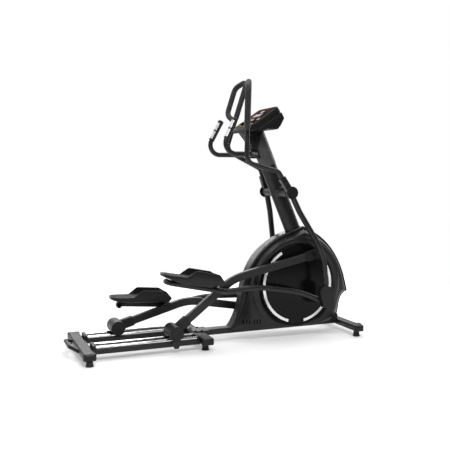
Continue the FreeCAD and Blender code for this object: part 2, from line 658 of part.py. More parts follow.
def add_roller_arm(side, rest):
    x, z = rest["roller"]
    points = arm_path()
    envelope = rect_sweep(points, [350], ARM_HEIGHT, ARM_Y[1] - ARM_Y[0], 6)
    inner_size = ARM_HEIGHT - 2 * ARM_WALL, ARM_Y[1] - ARM_Y[0] - 2 * ARM_WALL
    tube = envelope.cut(rect_sweep(points, [350], inner_size[0], inner_size[1], 4))
    leg_cos, leg_sin = direction_xz(ARM_LEG_RISE)
    pivot = (PEDAL_PIVOT_REACH * leg_cos, PEDAL_PIVOT_REACH * leg_sin)
    eyes = [disc_y(0, 0, ARM_EYE_R, *ARM_Y),
            disc_y(pivot[0], pivot[1], 18, ARM_Y[0] - 1.2, ARM_Y[1] + 2),
            disc_y(ARM_LENGTH, 0, ARM_EYE_R, *ARM_Y)]
    arm = fused(tube, *eyes)
    arm = arm.cut(disc_y(0, 0, AXLE_R + RUNNING_GAP, 100, 200))
    arm = arm.cut(disc_y(pivot[0], pivot[1], PIVOT_R + RUNNING_GAP, 100, 200))
    arm = arm.cut(disc_y(ARM_LENGTH, 0, PIVOT_R, 100, 200))
    add("roller_arm_" + side, on_side(turn(arm, x, z, rest["tilt"]), side))

    add("roller_cover_" + side, on_side(turn(roller_cover(), x, z, rest["tilt"] + ARM_LEG_RISE), side))

    nose = box(-74, 30, ARM_Y[0], ARM_Y[1] + 5, -33, 33)
    nose = round_along(nose, Y_AXIS, 12)
    bare = box(-90, 27, ARM_Y[0] - 1, ARM_Y[1], -ARM_HEIGHT / 2, ARM_HEIGHT / 2)
    cap = disc_y(0, 0, 15, ARM_Y[1] + 5, ARM_Y[1] + 9)
    pin = disc_y(0, 0, PIVOT_R, ARM_Y[0], ARM_Y[1] + 6)
    cover = turn(fused(nose.cut(bare), cap, pin), ARM_LENGTH, 0, -ARM_NOSE_DROP)
    arm_end = fused(envelope, disc_y(ARM_LENGTH, 0, ARM_EYE_R, *ARM_Y))
    arm_end = arm_end.cut(disc_y(ARM_LENGTH, 0, PIVOT_R, 100, 200))
    cover = cover.cut(arm_end)
    add("crank_joint_" + side, on_side(turn(cover, x, z, rest["tilt"]), side))


def roller_cover():
    """Drum over the wheels with a sleeve round the arm; +X runs up the arm's lower leg."""
    inner_y, outer_y, drum_r, skin = 72.0, 220.0, 48.0, 3.0
    shell = ring_y(0, 0, drum_r, drum_r - skin, inner_y, outer_y)
    points = []
    for degrees in (180, 215, 250, 285, 310):
        cos_a, sin_a = direction_xz(degrees)
        points.append((90 * cos_a, 90 * sin_a))
    shell = shell.cut(prism_xz([(0, 0)] + points, 0, 300))
    ends = [disc_y(0, 0, drum_r, inner_y, inner_y + 4), disc_y(0, 0, drum_r, outer_y - 4, outer_y)]
    sleeve = round_along(box(36, 121, ARM_Y[0] - 4, ARM_Y[1] + 4, -33, 33), Vector(1, 0, 0), 8)
    sleeve = sleeve.cut(disc_y(0, 0, drum_r - skin, inner_y, outer_y))
    cover = fused(shell, sleeve, *ends)
    return cover.cut(box(-5, 130, ARM_Y[0], ARM_Y[1], -ARM_HEIGHT / 2, ARM_HEIGHT / 2))


def add_pedal(side, rest):
    x, z = rest["pivot"]
    angle = rest["link_angle"]

    def put(shape):
        return on_side(turn(shape, x, z, angle), side)

    link = [Vector(-385, 130, 15), Vector(-385, LINK_Y, 15), Vector(20, LINK_Y, -2),
            Vector(250, LINK_Y, 52), Vector(560, LINK_Y, 52), Vector(LINK_LENGTH, LINK_Y, 0)]
    radii = [45, 250, 700, 700]
    outside = sweep_round(link, radii, LINK_TUBE_R)
    eye = disc_y(LINK_LENGTH, 0, 26, LINK_Y - 16, 221.5)
    pin = disc_y(0, 0, PIVOT_R, 121, LINK_Y)
    saddles = [box(u, u + 20, LINK_Y - 15, LINK_Y + 15, 12, 61) for u in (-320.0, -120.0)]
    outside = outside.multiFuse([eye, pin] + saddles)
    tube = outside.cut(sweep_round(link, radii, LINK_TUBE_R - TUBE_WALL).cut(disc_y(0, 0, PIVOT_R, 121, 201)))
    ear = prism_xz([(-100, 61), (-52, 61), (-52, 33), (16, 8), (14, -14), (-10, -17), (-24, -6)], 121, 127)
    tube = fused(tube, ear)
    add("pedal_link_" + side, put(tube))

    inner_y, outer_y = 100.0, 270.0
    outline = [(-440, 52), (-372, 37), (-37, 35), (-20, 60), (-66, 112), (-232, 118), (-292, 70), (-440, 70)]
    tray = prism_xz(outline, inner_y, outer_y)
    well = prism_xz([(-470, 67), (-36, 67), (-84, 125), (-470, 125)], inner_y + 7, outer_y - 7)
    tray = tray.cut(well)
    under = prism_xz([(-365, 30), (-50, 30), (-50, 61), (-365, 61)], inner_y + 6, outer_y - 6)
    tray = tray.cut(under)
    plan = round_along(box(-440, -10, inner_y, outer_y, 0, 200), Z_AXIS, 9)
    heel = box(-440, -360, inner_y, outer_y, 0, 200)
    heel_round = round_along(box(-440, -200, inner_y, outer_y, 0, 200), Z_AXIS, 62)
    tray = tray.common(plan).cut(heel.cut(heel_round))
    add("pedal_" + side, put(tray))

    pad = round_along(box(-430, -60, inner_y + 12, outer_y - 12, 67, 70), Z_AXIS, 50)
    add("pedal_pad_" + side, put(pad))


def swing_points():
    """Lower tube, drawn with the joint straight below the pivot."""
    return [Vector(0, SWING_HUB_Y, 0), Vector(20, SWING_HUB_Y, -150), Vector(58, SWING_JOINT_Y, -400),
            Vector(62, SWING_JOINT_Y, -540), Vector(8, SWING_JOINT_Y, -740), Vector(0, SWING_JOINT_Y, -800)]


def riser_points():
    """Upper tube: clamp, forward reach, riser and hand loop, in the same frame."""
    clamp = Vector(-16, SWING_HUB_Y, 67)
    reach = Vector(-41, SWING_HUB_Y + 4, 169)
    corner = Vector(-274, RISER_Y, 318)
    top = Vector(-78, RISER_Y, 818)
    down = (corner - top).normalize()
    offset = Vector(-39, LOOP_Y - RISER_Y, 15)
    loop_high = top + down * 62 + offset
    loop_low = top + down * 272 + offset
    foot = top + down * 322
    return clamp, reach, corner, top, loop_high, loop_low, foot


def add_swing_arm(side, rest):
    def put(shape):
        return on_side(turn(shape, SWING_X, SWING_Z, rest["swing_angle"]), side)

    points = swing_points()
    tube = bent_tube(points, [160, 300, 200, 120], SWING_TUBE_R)
    hub = disc_y(0, 0, 30, 171, 214)
    clamp, reach = riser_points()[:2]
    sleeve_axis = (reach - clamp).normalize()
    sleeve = box(-22, 22, 171, 214, 18, 122)
    lean = math.degrees(math.atan2(-sleeve_axis.x, sleeve_axis.z))
    sleeve = turn(round_along(sleeve, Z_AXIS, 6), 0, 0, lean)
    arm = fused(tube.cut(disc_y(0, 0, 30, 150, 230)), hub, sleeve)
    arm = arm.cut(disc_y(0, 0, 12 + RUNNING_GAP, 150, 230))
    arm = arm.cut(rod(clamp, clamp + sleeve_axis * 200, HANDLE_TUBE_R))
    add("swing_arm_" + side, put(arm))

    cap = disc_y(0, 0, 44, 214, 224)
    cap = cap.makeFillet(4, [e for e in cap.Edges if e.BoundBox.YMin > 223])
    cap = cap.cut(disc_y(0, 0, 13, 210, 219))
    cover = prism_xz([(-21, -693), (9, -693), (56, -730), (50, -775), (10, -870), (-59, -836), (-52, -718)],
                     222.6, 270)
    cover = round_along(cover, Y_AXIS, 8)
    cover = cover.cut(sweep_round(points, [160, 300, 200, 120], SWING_TUBE_R))
    add("swing_covers_" + side, put(cap), put(cover))

    clamp, reach, corner, top, loop_high, loop_low, foot = riser_points()
    halfway = (loop_high + loop_low) * 0.5
    upper = [clamp, reach, corner, top, loop_high, halfway]
    lower = [halfway, loop_low, foot]
    solid = sweep_round(upper, [45, 70, 24, 40], HANDLE_TUBE_R).fuse(sweep_round(lower, [40], HANDLE_TUBE_R))
    hollow_r = HANDLE_TUBE_R - TUBE_WALL
    hollow = sweep_round(upper, [45, 70, 24, 40], hollow_r).fuse(sweep_round(lower, [40], hollow_r))
    add("handlebar_" + side, put(solid.cut(hollow).removeSplitter()))

    down = (corner - top).normalize()
    grips = []
    for start, end in ((top + down * 50, top + down * 285), (loop_high + down * 24, loop_low - down * 32)):
        grips.append(put(rod(start, end, FOAM_R).cut(rod(start, end, HANDLE_TUBE_R))))
    add("hand_grips_" + side, *grips)


# ---- Fasteners ------------------------------------------------------------------------
def add_fasteners():
    bolts = []
    for x in (MID_BEAM[0] + 20, MID_BEAM[1] - 14):
        for y in (-50, 50):
            head = Part.makeCylinder(8, 5, Vector(x, y, 96))
            socket = Part.makeCylinder(4, 4, Vector(x, y, 98))
            bolts.append(head.cut(socket))
    add("frame_bolts", *bolts)


def build():
    add_base()
    add_front_wheels()
    add_inner_frame()
    add_crankset()
    add_drive()
    add_housing()
    add_mast()
    add_fixed_handlebar()
    add_console()
    add_fasteners()
    for side, phase in (("right", RIGHT_PIN_PHASE), ("left", RIGHT_PIN_PHASE + 180)):
        rest = linkage(phase)
        add_roller(side, rest)
        add_roller_arm(side, rest)
        add_pedal(side, rest)
        add_swing_arm(side, rest)


def write():
    os.makedirs("parts", exist_ok=True)
    for name, shape in nodes.items():
        shape.exportStep("parts/" + name + ".step")
    print(len(nodes), "nodes")


build()
write()
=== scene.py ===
"""Looks of the elliptical trainer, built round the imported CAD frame.

Metres, +X towards the drive housing, +Y to the user's left, +Z up.
"""
import bpy
import bmesh
import json
import math
from mathutils import Matrix, Vector
from mathutils.bvhtree import BVHTree


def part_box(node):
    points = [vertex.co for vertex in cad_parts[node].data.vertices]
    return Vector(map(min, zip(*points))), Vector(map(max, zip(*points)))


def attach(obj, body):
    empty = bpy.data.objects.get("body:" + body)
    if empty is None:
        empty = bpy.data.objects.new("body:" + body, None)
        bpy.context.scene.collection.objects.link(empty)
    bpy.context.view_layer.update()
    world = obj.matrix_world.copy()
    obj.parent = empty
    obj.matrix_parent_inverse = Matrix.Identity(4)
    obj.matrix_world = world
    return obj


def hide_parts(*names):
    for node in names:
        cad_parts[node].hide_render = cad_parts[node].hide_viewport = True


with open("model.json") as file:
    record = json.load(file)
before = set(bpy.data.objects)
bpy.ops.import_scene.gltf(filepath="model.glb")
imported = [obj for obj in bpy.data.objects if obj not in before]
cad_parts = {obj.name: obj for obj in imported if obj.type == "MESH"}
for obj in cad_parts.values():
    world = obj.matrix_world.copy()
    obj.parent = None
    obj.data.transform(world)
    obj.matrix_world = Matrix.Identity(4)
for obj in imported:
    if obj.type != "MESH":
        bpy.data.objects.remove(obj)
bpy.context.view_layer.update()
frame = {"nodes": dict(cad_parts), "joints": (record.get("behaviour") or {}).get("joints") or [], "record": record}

SIDES = {"left": 1.0, "right": -1.0}
MM = 0.001
SHARP_ANGLE = math.radians(32)

# Rest angles of the moving parts, in degrees; positive lifts the +X end.
SWING_REST = {"left": 3.262, "right": 19.887}
LINK_REST = {"left": -2.481, "right": -9.488}
PIN_PHASE = {"left": 243.0, "right": 63.0}


def joint_place(name):
    for entry in frame["joints"]:
        if entry["name"] == name:
            return Vector(entry["pos_m"])
    raise KeyError(name)


CRANK = joint_place("crank_turn")
SWING = joint_place("swing_left")


# ---- Materials ---------------------------------------------------------------
class Surface:
    """One procedural material, built up from the part's own coordinates."""

    def __init__(self, name, color, roughness, metallic=0.0, specular=0.5):
        self.material = bpy.data.materials.new(name)
        self.material.use_nodes = True
        self.nodes = self.material.node_tree.nodes
        self.links = self.material.node_tree.links
        self.shader = self.nodes["Principled BSDF"]
        self.color = color
        self.roughness = roughness
        self.shader.inputs["Base Color"].default_value = (*color, 1.0)
        self.shader.inputs["Roughness"].default_value = roughness
        self.shader.inputs["Metallic"].default_value = metallic
        self.shader.inputs["Specular IOR Level"].default_value = specular
        self.coordinates = self.nodes.new("ShaderNodeTexCoord").outputs["Object"]
        self.bump = None

    def stretched(self, scale):
        mapping = self.nodes.new("ShaderNodeMapping")
        mapping.inputs["Scale"].default_value = scale
        self.links.new(self.coordinates, mapping.inputs["Vector"])
        return mapping.outputs["Vector"]

    def noise(self, scale, detail=3.0, stretch=(1, 1, 1)):
        node = self.nodes.new("ShaderNodeTexNoise")
        node.inputs["Scale"].default_value = scale
        node.inputs["Detail"].default_value = detail
        self.links.new(self.stretched(stretch), node.inputs["Vector"])
        return node.outputs["Fac"]

    def cells(self, scale, feature="F1"):
        node = self.nodes.new("ShaderNodeTexVoronoi")
        node.feature = feature
        node.inputs["Scale"].default_value = scale
        self.links.new(self.stretched((1, 1, 1)), node.inputs["Vector"])
        return node.outputs["Distance"]

    def ranged(self, source, low, high, start=0.3, end=0.7):
        node = self.nodes.new("ShaderNodeMapRange")
        node.inputs["From Min"].default_value = start
        node.inputs["From Max"].default_value = end
        node.inputs["To Min"].default_value = low
        node.inputs["To Max"].default_value = high
        self.links.new(source, node.inputs["Value"])
        return node.outputs["Result"]

    def mottle(self, source, other, start=0.35, end=0.7):
        """Vary the colour between the base and another colour."""
        mix = self.nodes.new("ShaderNodeMix")
        mix.data_type = "RGBA"
        mix.inputs["A"].default_value = (*self.color, 1.0)
        mix.inputs["B"].default_value = (*other, 1.0)
        self.links.new(self.ranged(source, 0.0, 1.0, start, end), mix.inputs["Factor"])
        self.links.new(mix.outputs["Result"], self.shader.inputs["Base Color"])
        return self

    def rough(self, source, low, high):
        self.links.new(self.ranged(source, low, high), self.shader.inputs["Roughness"])
        return self

    def relief(self, source, strength, distance):
        bump = self.nodes.new("ShaderNodeBump")
        bump.inputs["Strength"].default_value = strength
        bump.inputs["Distance"].default_value = distance
        self.links.new(source, bump.inputs["Height"])
        if self.bump is not None:
            self.links.new(self.bump.outputs["Normal"], bump.inputs["Normal"])
        self.links.new(bump.outputs["Normal"], self.shader.inputs["Normal"])
        self.bump = bump
        return self


def powder_coat():
    """Satin black powder coat: orange-peel relief, faint scuffs."""
    s = Surface("powder_coat", (0.008, 0.008, 0.0085), 0.40, specular=0.38)
    s.rough(s.noise(35.0), 0.36, 0.48)
    s.mottle(s.noise(14.0, 6.0), (0.013, 0.013, 0.014), 0.55, 0.8)
    return s.relief(s.noise(1400.0, 2.0), 0.12, 0.0004).material


def moulded_plastic(name, color, roughness, grain=1800.0, strength=0.22, specular=0.38):
    """Moulded plastic with a fine spark-eroded grain."""
    s = Surface(name, color, roughness, specular=specular)
    lighter = tuple(c * 1.4 + 0.001 for c in color)
    s.mottle(s.noise(22.0, 5.0), lighter, 0.5, 0.85)
    s.rough(s.noise(60.0), roughness - 0.05, roughness + 0.06)
    return s.relief(s.noise(grain, 2.0), strength, 0.0004).material


def gloss_plastic():
    """Glossy black panel with a faint moulding ripple and hairline scratches."""
    s = Surface("gloss_plastic", (0.003, 0.003, 0.0034), 0.18, specular=0.12)
    s.rough(s.noise(9.0, 5.0), 0.16, 0.22)
    s.mottle(s.noise(6.0, 4.0), (0.0055, 0.0055, 0.006), 0.4, 0.8)
    return s.relief(s.noise(1500.0, 2.0), 0.04, 0.0003).material


def foam():
    """Closed-cell foam grip: fine pores over soft ribs, matt with a little bloom."""
    s = Surface("foam", (0.008, 0.008, 0.0085), 0.72, specular=0.35)
    s.mottle(s.noise(90.0, 4.0), (0.015, 0.015, 0.016), 0.45, 0.75)
    s.shader.inputs["Sheen Weight"].default_value = 0.08
    s.shader.inputs["Sheen Roughness"].default_value = 0.5
    s.relief(s.cells(1300.0), 0.35, 0.0005)
    return s.relief(s.noise(260.0, 3.0), 0.15, 0.0006).material


def rubber():
    s = Surface("rubber", (0.010, 0.010, 0.011), 0.68)
    s.mottle(s.noise(120.0, 5.0), (0.022, 0.021, 0.020), 0.5, 0.85)
    return s.relief(s.noise(900.0, 3.0), 0.3, 0.0005).material


def bright_metal(name, color, roughness, stretch):
    """Drawn or turned metal: long fine streaks along the part."""
    s = Surface(name, color, roughness, metallic=1.0)
    streaks = s.noise(420.0, 4.0, stretch)
    s.rough(streaks, max(0.03, roughness - 0.07), roughness + 0.09)
    s.mottle(s.noise(18.0, 4.0), tuple(c * 0.82 for c in color), 0.45, 0.8)
    return s.relief(streaks, 0.05, 0.0003).material


def cast_iron():
    s = Surface("cast_iron", (0.09, 0.09, 0.095), 0.5, metallic=0.9)
    s.mottle(s.noise(50.0, 6.0), (0.05, 0.048, 0.046), 0.4, 0.7)
    return s.relief(s.noise(500.0, 4.0), 0.3, 0.0008).material


def printed_film():
    """Dark console film with a warm brown sheen in broad slanting bands."""
    s = Surface("printed_film", (0.007, 0.004, 0.0035), 0.5, specular=0.05)
    s.shader.inputs["IOR"].default_value = 1.06
    s.mottle(s.noise(16.0, 2.0, (1.0, 0.35, 1.0)), (0.035, 0.010, 0.005), 0.48, 0.66)
    s.rough(s.noise(70.0), 0.46, 0.56)
    return s.relief(s.noise(2200.0, 2.0), 0.08, 0.0002).material


def accent(name, color):
    s = Surface(name, color, 0.4, specular=0.15)
    s.mottle(s.noise(150.0, 4.0), tuple(c * 0.7 for c in color), 0.5, 0.8)
    return s.relief(s.noise(1500.0, 2.0), 0.08, 0.0002).material


def screen():
    """Unlit liquid crystal window: pale grey with a faint pixel grid."""
    s = Surface("screen", (0.23, 0.24, 0.25), 0.3, specular=0.15)
    s.mottle(s.cells(420.0), (0.19, 0.20, 0.21), 0.2, 0.6)
    s.rough(s.noise(40.0), 0.26, 0.34)
    return s.relief(s.noise(1800.0, 2.0), 0.04, 0.0002).material


def satin_plate():
    """Brushed contact plate: pale, with a soft metallic sheen along it."""
    s = Surface("satin_plate", (0.55, 0.56, 0.57), 0.42, metallic=0.2)
    streaks = s.noise(380.0, 4.0, (1, 1, 0.05))
    s.rough(streaks, 0.38, 0.48)
    s.mottle(s.noise(30.0, 4.0), (0.49, 0.50, 0.51), 0.45, 0.8)
    return s.relief(streaks, 0.05, 0.0003).material


def white_print():
    s = Surface("white_print", (0.90, 0.90, 0.90), 0.38)
    s.mottle(s.noise(60.0, 5.0), (0.86, 0.86, 0.865), 0.5, 0.8)
    return s.relief(s.noise(1600.0, 2.0), 0.08, 0.0002).material


def paper_floor():
    """Seamless pale floor: it glows a little more far from the object, where the lamps fade."""
    s = Surface("paper_floor", (0.62, 0.62, 0.62), 0.9, specular=0.05)
    s.mottle(s.noise(1.5, 3.0), (0.60, 0.60, 0.60), 0.4, 0.7)
    distance = s.nodes.new("ShaderNodeVectorMath")
    distance.operation = "LENGTH"
    s.links.new(s.coordinates, distance.inputs[0])
    s.shader.inputs["Emission Color"].default_value = (1.0, 1.0, 1.0, 1.0)
    glow = s.ranged(distance.outputs["Value"], 0.33, 1.05, 1.15, 2.9)
    s.links.new(glow, s.shader.inputs["Emission Strength"])
    return s.material


MATERIALS = {
    "powder_coat": powder_coat(),
    "shell": moulded_plastic("shell_plastic", (0.011, 0.011, 0.0115), 0.34, specular=0.27),
    "cover": moulded_plastic("cover_plastic", (0.0075, 0.0075, 0.008), 0.42, specular=0.28),
    "console": moulded_plastic("console_plastic", (0.008, 0.008, 0.0085), 0.46, specular=0.14),
    "panel": moulded_plastic("mast_panel", (0.052, 0.050, 0.050), 0.42, 1200.0, 0.15),
    "wheel": moulded_plastic("wheel_plastic", (0.02, 0.02, 0.021), 0.5),
    "gloss": gloss_plastic(),
    "foam": foam(),
    "rubber": rubber(),
    "chrome": bright_metal("chrome", (0.80, 0.81, 0.83), 0.10, (0.02, 1, 1)),
    "black_steel": bright_metal("black_steel", (0.035, 0.035, 0.037), 0.34, (1, 1, 1)),
    "steel": bright_metal("steel", (0.50, 0.51, 0.53), 0.30, (1, 0.03, 1)),
    "alloy": bright_metal("alloy", (0.62, 0.63, 0.65), 0.38, (1, 1, 1)),
    "iron": cast_iron(),
    "film": printed_film(),
    "orange": accent("orange_print", (0.13, 0.035, 0.012)),
    "yellow": accent("yellow_print", (0.32, 0.24, 0.02)),
    "green": accent("green_key", (0.03, 0.26, 0.08)),
    "red": accent("red_key", (0.35, 0.02, 0.02)),
    "screen": screen(),
    "plate": satin_plate(),
    "white": white_print(),
    "floor": paper_floor(),
}

SLOT_MATERIAL = {
    "frame_black": "powder_coat", "bright_rod": "chrome", "shaft_steel": "steel",
    "shell_black": "cover", "disc_black": "gloss", "foam_black": "foam",
    "rubber_black": "rubber", "wheel_polymer": "wheel", "console_grey": "console",
    "console_fascia": "film", "key_green": "green", "key_red": "red", "iron": "iron",
    "pulley_alloy": "alloy", "sensor_plate": "plate",
}


# ---- Mesh helpers --------------------------------------------------------------
def put_material(obj, name):
    obj.data.materials.clear()
    obj.data.materials.append(MATERIALS[name])


def mark_edges(obj, angle=SHARP_ANGLE):
    """Smooth shading, split where the surface turns sharply."""
    mesh = bmesh.new()
    mesh.from_mesh(obj.data)
    bmesh.ops.recalc_face_normals(mesh, faces=mesh.faces)
    for face in mesh.faces:
        face.smooth = True
    for edge in mesh.edges:
        edge.smooth = len(edge.link_faces) == 2 and edge.calc_face_angle(math.pi) < angle
    mesh.to_mesh(obj.data)
    mesh.free()


def bake_modifiers(obj):
    bpy.context.view_layer.update()
    graph = bpy.context.evaluated_depsgraph_get()
    mesh = bpy.data.meshes.new_from_object(obj.evaluated_get(graph))
    obj.modifiers.clear()
    obj.data = mesh


def new_object(name, points, faces):
    mesh = bpy.data.meshes.new(name)
    mesh.from_pydata([tuple(p) for p in points], [], faces)
    mesh.validate()
    obj = bpy.data.objects.new(name, mesh)
    bpy.context.scene.collection.objects.link(obj)
    return obj


def soften(obj, width, segments=2, angle=SHARP_ANGLE):
    """Round the sharp edges of a built piece."""
    bevel = obj.modifiers.new("soften", "BEVEL")
    bevel.width = width
    bevel.segments = segments
    bevel.limit_method = "ANGLE"
    bevel.angle_limit = angle
    bake_modifiers(obj)
    return obj


def cut_away(obj, cutter):
    """Take a closed cutter out of a piece, then remove the cutter."""
    boolean = obj.modifiers.new("cut", "BOOLEAN")
    boolean.operation = "DIFFERENCE"
    boolean.solver = "EXACT"
    boolean.object = cutter
    bake_modifiers(obj)
    bpy.data.objects.remove(cutter)
    return obj


def place(obj, body, material, replaces=()):
    """Finish a built piece: material, shading, the body it rides on."""
    put_material(obj, material)
    mark_edges(obj)
    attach(obj, body)
    if replaces:
        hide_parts(*replaces)
    return obj


def join(name, parts):
    """Several built meshes as one piece."""
    points, faces = [], []
    for part in parts:
        start = len(points)
        points += [part.matrix_world @ v.co for v in part.data.vertices]
        faces += [[start + i for i in face.vertices] for face in part.data.polygons]
        bpy.data.objects.remove(part)
    return new_object(name, points, faces)


def rings_to_faces(rows, count, closed=True):
    """Quads between successive rings of equal size."""
    faces = []
    last = count if closed else count - 1
    for row in range(rows - 1):
        for k in range(last):
            a = row * count + k
            b = row * count + (k + 1) % count
            faces.append((a, b, b + count, a + count))
    return faces


def looped(name, rings):
    """A closed skin through equal rings of points, the last one joined to the first."""
    count = len(rings[0])
    faces = rings_to_faces(len(rings), count)
    last = (len(rings) - 1) * count
    faces += [(last + k, last + (k + 1) % count, (k + 1) % count, k) for k in range(count)]
    return new_object(name, [p for ring in rings for p in ring], faces)


def capped(name, rings):
    """A closed skin through equal rings of points, with flat ends."""
    count = len(rings[0])
    faces = rings_to_faces(len(rings), count)
    faces.append(tuple(reversed(range(count))))
    faces.append(tuple(range((len(rings) - 1) * count, len(rings) * count)))
    return new_object(name, [p for ring in rings for p in ring], faces)


def across(axis):
    """Two unit vectors square to an axis."""
    helper = Vector((0, 0, 1)) if abs(axis.z) < 0.9 else Vector((1, 0, 0))
    first = axis.cross(helper).normalized()
    return first, axis.cross(first).normalized()


def lathe(name, origin, axis, profile, segments=32):
    """Turn a profile of (radius, height) pairs round an axis."""
    axis = Vector(axis).normalized()
    first, second = across(axis)
    rings = []
    for radius, height in profile:
        ring = []
        for k in range(segments):
            angle = 2 * math.pi * k / segments
            outward = first * math.cos(angle) + second * math.sin(angle)
            ring.append(Vector(origin) + axis * height + outward * max(radius, 0.00005))
        rings.append(ring)
    return capped(name, rings)


def block(name, low, high):
    x0, y0, z0 = low
    x1, y1, z1 = high
    corners = ((x0, y0), (x1, y0), (x1, y1), (x0, y1))
    return capped(name, [[Vector((x, y, z)) for x, y in corners] for z in (z0, z1)])


def rounded_path(points, radii, step):
    """Points along straight runs joined by tangent arcs; radii belong to the inner points."""
    path = [points[0]]

    def run_to(target):
        span = target - path[-1]
        count = max(1, round(span.length / step))
        start = path[-1]
        path.extend(start + span * (k / count) for k in range(1, count + 1))

    for before, corner, after, radius in zip(points, points[1:], points[2:], radii):
        inward = (before - corner).normalized()
        outward = (after - corner).normalized()
        half = inward.angle(outward) / 2
        reach = radius / math.tan(half)
        centre = corner + (inward + outward).normalized() * (radius / math.sin(half))
        start, end = corner + inward * reach, corner + outward * reach
        run_to(start)
        normal = (start - centre).cross(end - centre).normalized()
        turn = math.pi - 2 * half
        count = max(2, round(radius * turn / step))
        for k in range(1, count + 1):
            spin = Matrix.Rotation(turn * k / count, 3, normal)
            path.append(centre + spin @ (start - centre))
    run_to(points[-1])
    return path


def sleeve(name, path, radius_at, segments=20):
    """A closed round sleeve along a path; radius_at gives the radius at a distance along it."""
    rings = []
    side = across((path[1] - path[0]).normalized())[0]
    gone = 0.0
    for k, point in enumerate(path):
        ahead = path[min(k + 1, len(path) - 1)]
        behind = path[max(k - 1, 0)]
        along = (ahead - behind).normalized()
        side = (side - along * side.dot(along)).normalized()
        other = along.cross(side)
        if k:
            gone += (point - behind).length
        radius = radius_at(gone)
        angles = [2 * math.pi * j / segments for j in range(segments)]
        rings.append([point + (side * math.cos(a) + other * math.sin(a)) * radius for a in angles])
    return capped(name, rings)


def path_length(path):
    return sum((b - a).length for a, b in zip(path, path[1:]))


def ease(value, start, end):
    t = max(0.0, min(1.0, (value - start) / (end - start)))
    return t * t * (3 - 2 * t)


def along_line(value, knots):
    """Read a value off a line of (place, value) knots."""
    if value <= knots[0][0]:
        return knots[0][1]
    for (x0, y0), (x1, y1) in zip(knots, knots[1:]):
        if value <= x1:
            return y0 + (y1 - y0) * (value - x0) / (x1 - x0)
    return knots[-1][1]


def turned(point, pivot, degrees, sign):
    """A point drawn about a pivot on the left side, turned and put on its side."""
    angle = math.radians(degrees)
    x = point[0] * math.cos(angle) - point[2] * math.sin(angle)
    z = point[0] * math.sin(angle) + point[2] * math.cos(angle)
    return Vector((pivot.x + x, sign * point[1], pivot.z + z))


# ---- Camera, floor and light -----------------------------------------------------
def add_camera():
    data = bpy.data.cameras.new("camera")
    data.sensor_width = 36.0
    data.lens = 53.58
    camera = bpy.data.objects.new("camera", data)
    camera.location = (-1.668, -4.310, 1.175)
    camera.rotation_euler = (math.radians(90 - 4.451), 0.0, math.radians(-21.857))
    bpy.context.scene.collection.objects.link(camera)
    bpy.context.scene.camera = camera


FLOOR_R = 3.3


def add_floor():
    rim = [2 * math.pi * k / 96 for k in range(96)]
    points = [(FLOOR_R * math.cos(a), FLOOR_R * math.sin(a), 0) for a in rim]
    floor = new_object("floor", points, [tuple(range(96))])
    put_material(floor, "floor")


def add_area_light(name, place_at, aim_at, size, power):
    data = bpy.data.lights.new(name, "AREA")
    data.shape = "RECTANGLE"
    data.size, data.size_y = size
    data.energy = power
    lamp = bpy.data.objects.new(name, data)
    lamp.location = place_at
    lamp.rotation_euler = (Vector(aim_at) - Vector(place_at)).to_track_quat("-Z", "Y").to_euler()
    bpy.context.scene.collection.objects.link(lamp)


def add_world():
    """A pale room: white to the camera, and dim as a light source on the near side."""
    world = bpy.data.worlds.new("room")
    bpy.context.scene.world = world
    world.use_nodes = True
    nodes, links = world.node_tree.nodes, world.node_tree.links
    seen = nodes["Background"]
    seen.inputs["Color"].default_value = (1.0, 1.0, 1.0, 1.0)
    seen.inputs["Strength"].default_value = 1.0
    lit = nodes.new("ShaderNodeBackground")
    lit.inputs["Color"].default_value = (1.0, 1.0, 1.0, 1.0)
    direction = nodes.new("ShaderNodeTexCoord")
    split = nodes.new("ShaderNodeSeparateXYZ")
    links.new(direction.outputs["Generated"], split.inputs[0])
    side = nodes.new("ShaderNodeMapRange")
    side.interpolation_type = "SMOOTHSTEP"
    side.inputs["From Min"].default_value = -0.15
    side.inputs["From Max"].default_value = 0.65
    side.inputs["To Min"].default_value = 0.10
    side.inputs["To Max"].default_value = 0.80
    links.new(split.outputs["Y"], side.inputs["Value"])
    links.new(side.outputs["Result"], lit.inputs["Strength"])
    path = nodes.new("ShaderNodeLightPath")
    mix = nodes.new("ShaderNodeMixShader")
    links.new(path.outputs["Is Camera Ray"], mix.inputs["Fac"])
    links.new(lit.outputs["Background"], mix.inputs[1])
    links.new(seen.outputs["Background"], mix.inputs[2])
    links.new(mix.outputs["Shader"], nodes["World Output"].inputs["Surface"])


def add_lights():
    add_world()
    add_area_light("ceiling", (0.2, 0.6, 4.2), (0.0, 0.0, 0.4), (3.6, 3.0), 130.0)
    add_area_light("rear_strip", (-3.8, 1.6, 2.6), (0.2, 0.0, 0.7), (0.9, 2.6), 20.0)
    add_area_light("front_strip", (3.6, 0.6, 2.6), (0.3, 0.0, 0.8), (0.9, 2.6), 40.0)
    add_area_light("high_fill", (-0.6, -3.0, 4.0), (0.2, 0.0, 0.4), (2.6, 1.2), 150.0)
    add_area_light("back_strip", (0.8, 3.8, 2.1), (0.0, 0.0, 0.4), (4.2, 1.0), 55.0)
    bpy.context.scene.view_settings.view_transform = "Standard"


# ---- CAD nodes that stay --------------------------------------------------------
BEVELLED = {
    "rail_rod_holders": 1.2, "base_tube": 1.0, "handlebar_clamp": 2.0,
    "swing_covers_left": 2.0, "swing_covers_right": 2.0, "crank_joint_left": 1.2,
    "crank_joint_right": 1.2, "roller_cover_left": 1.0, "roller_cover_right": 1.0,
    "console_key_start": 0.8, "console_key_stop": 0.8, "roller_carriage_left": 0.8,
    "roller_carriage_right": 0.8, "transport_wheel_left": 1.0, "transport_wheel_right": 1.0,
}


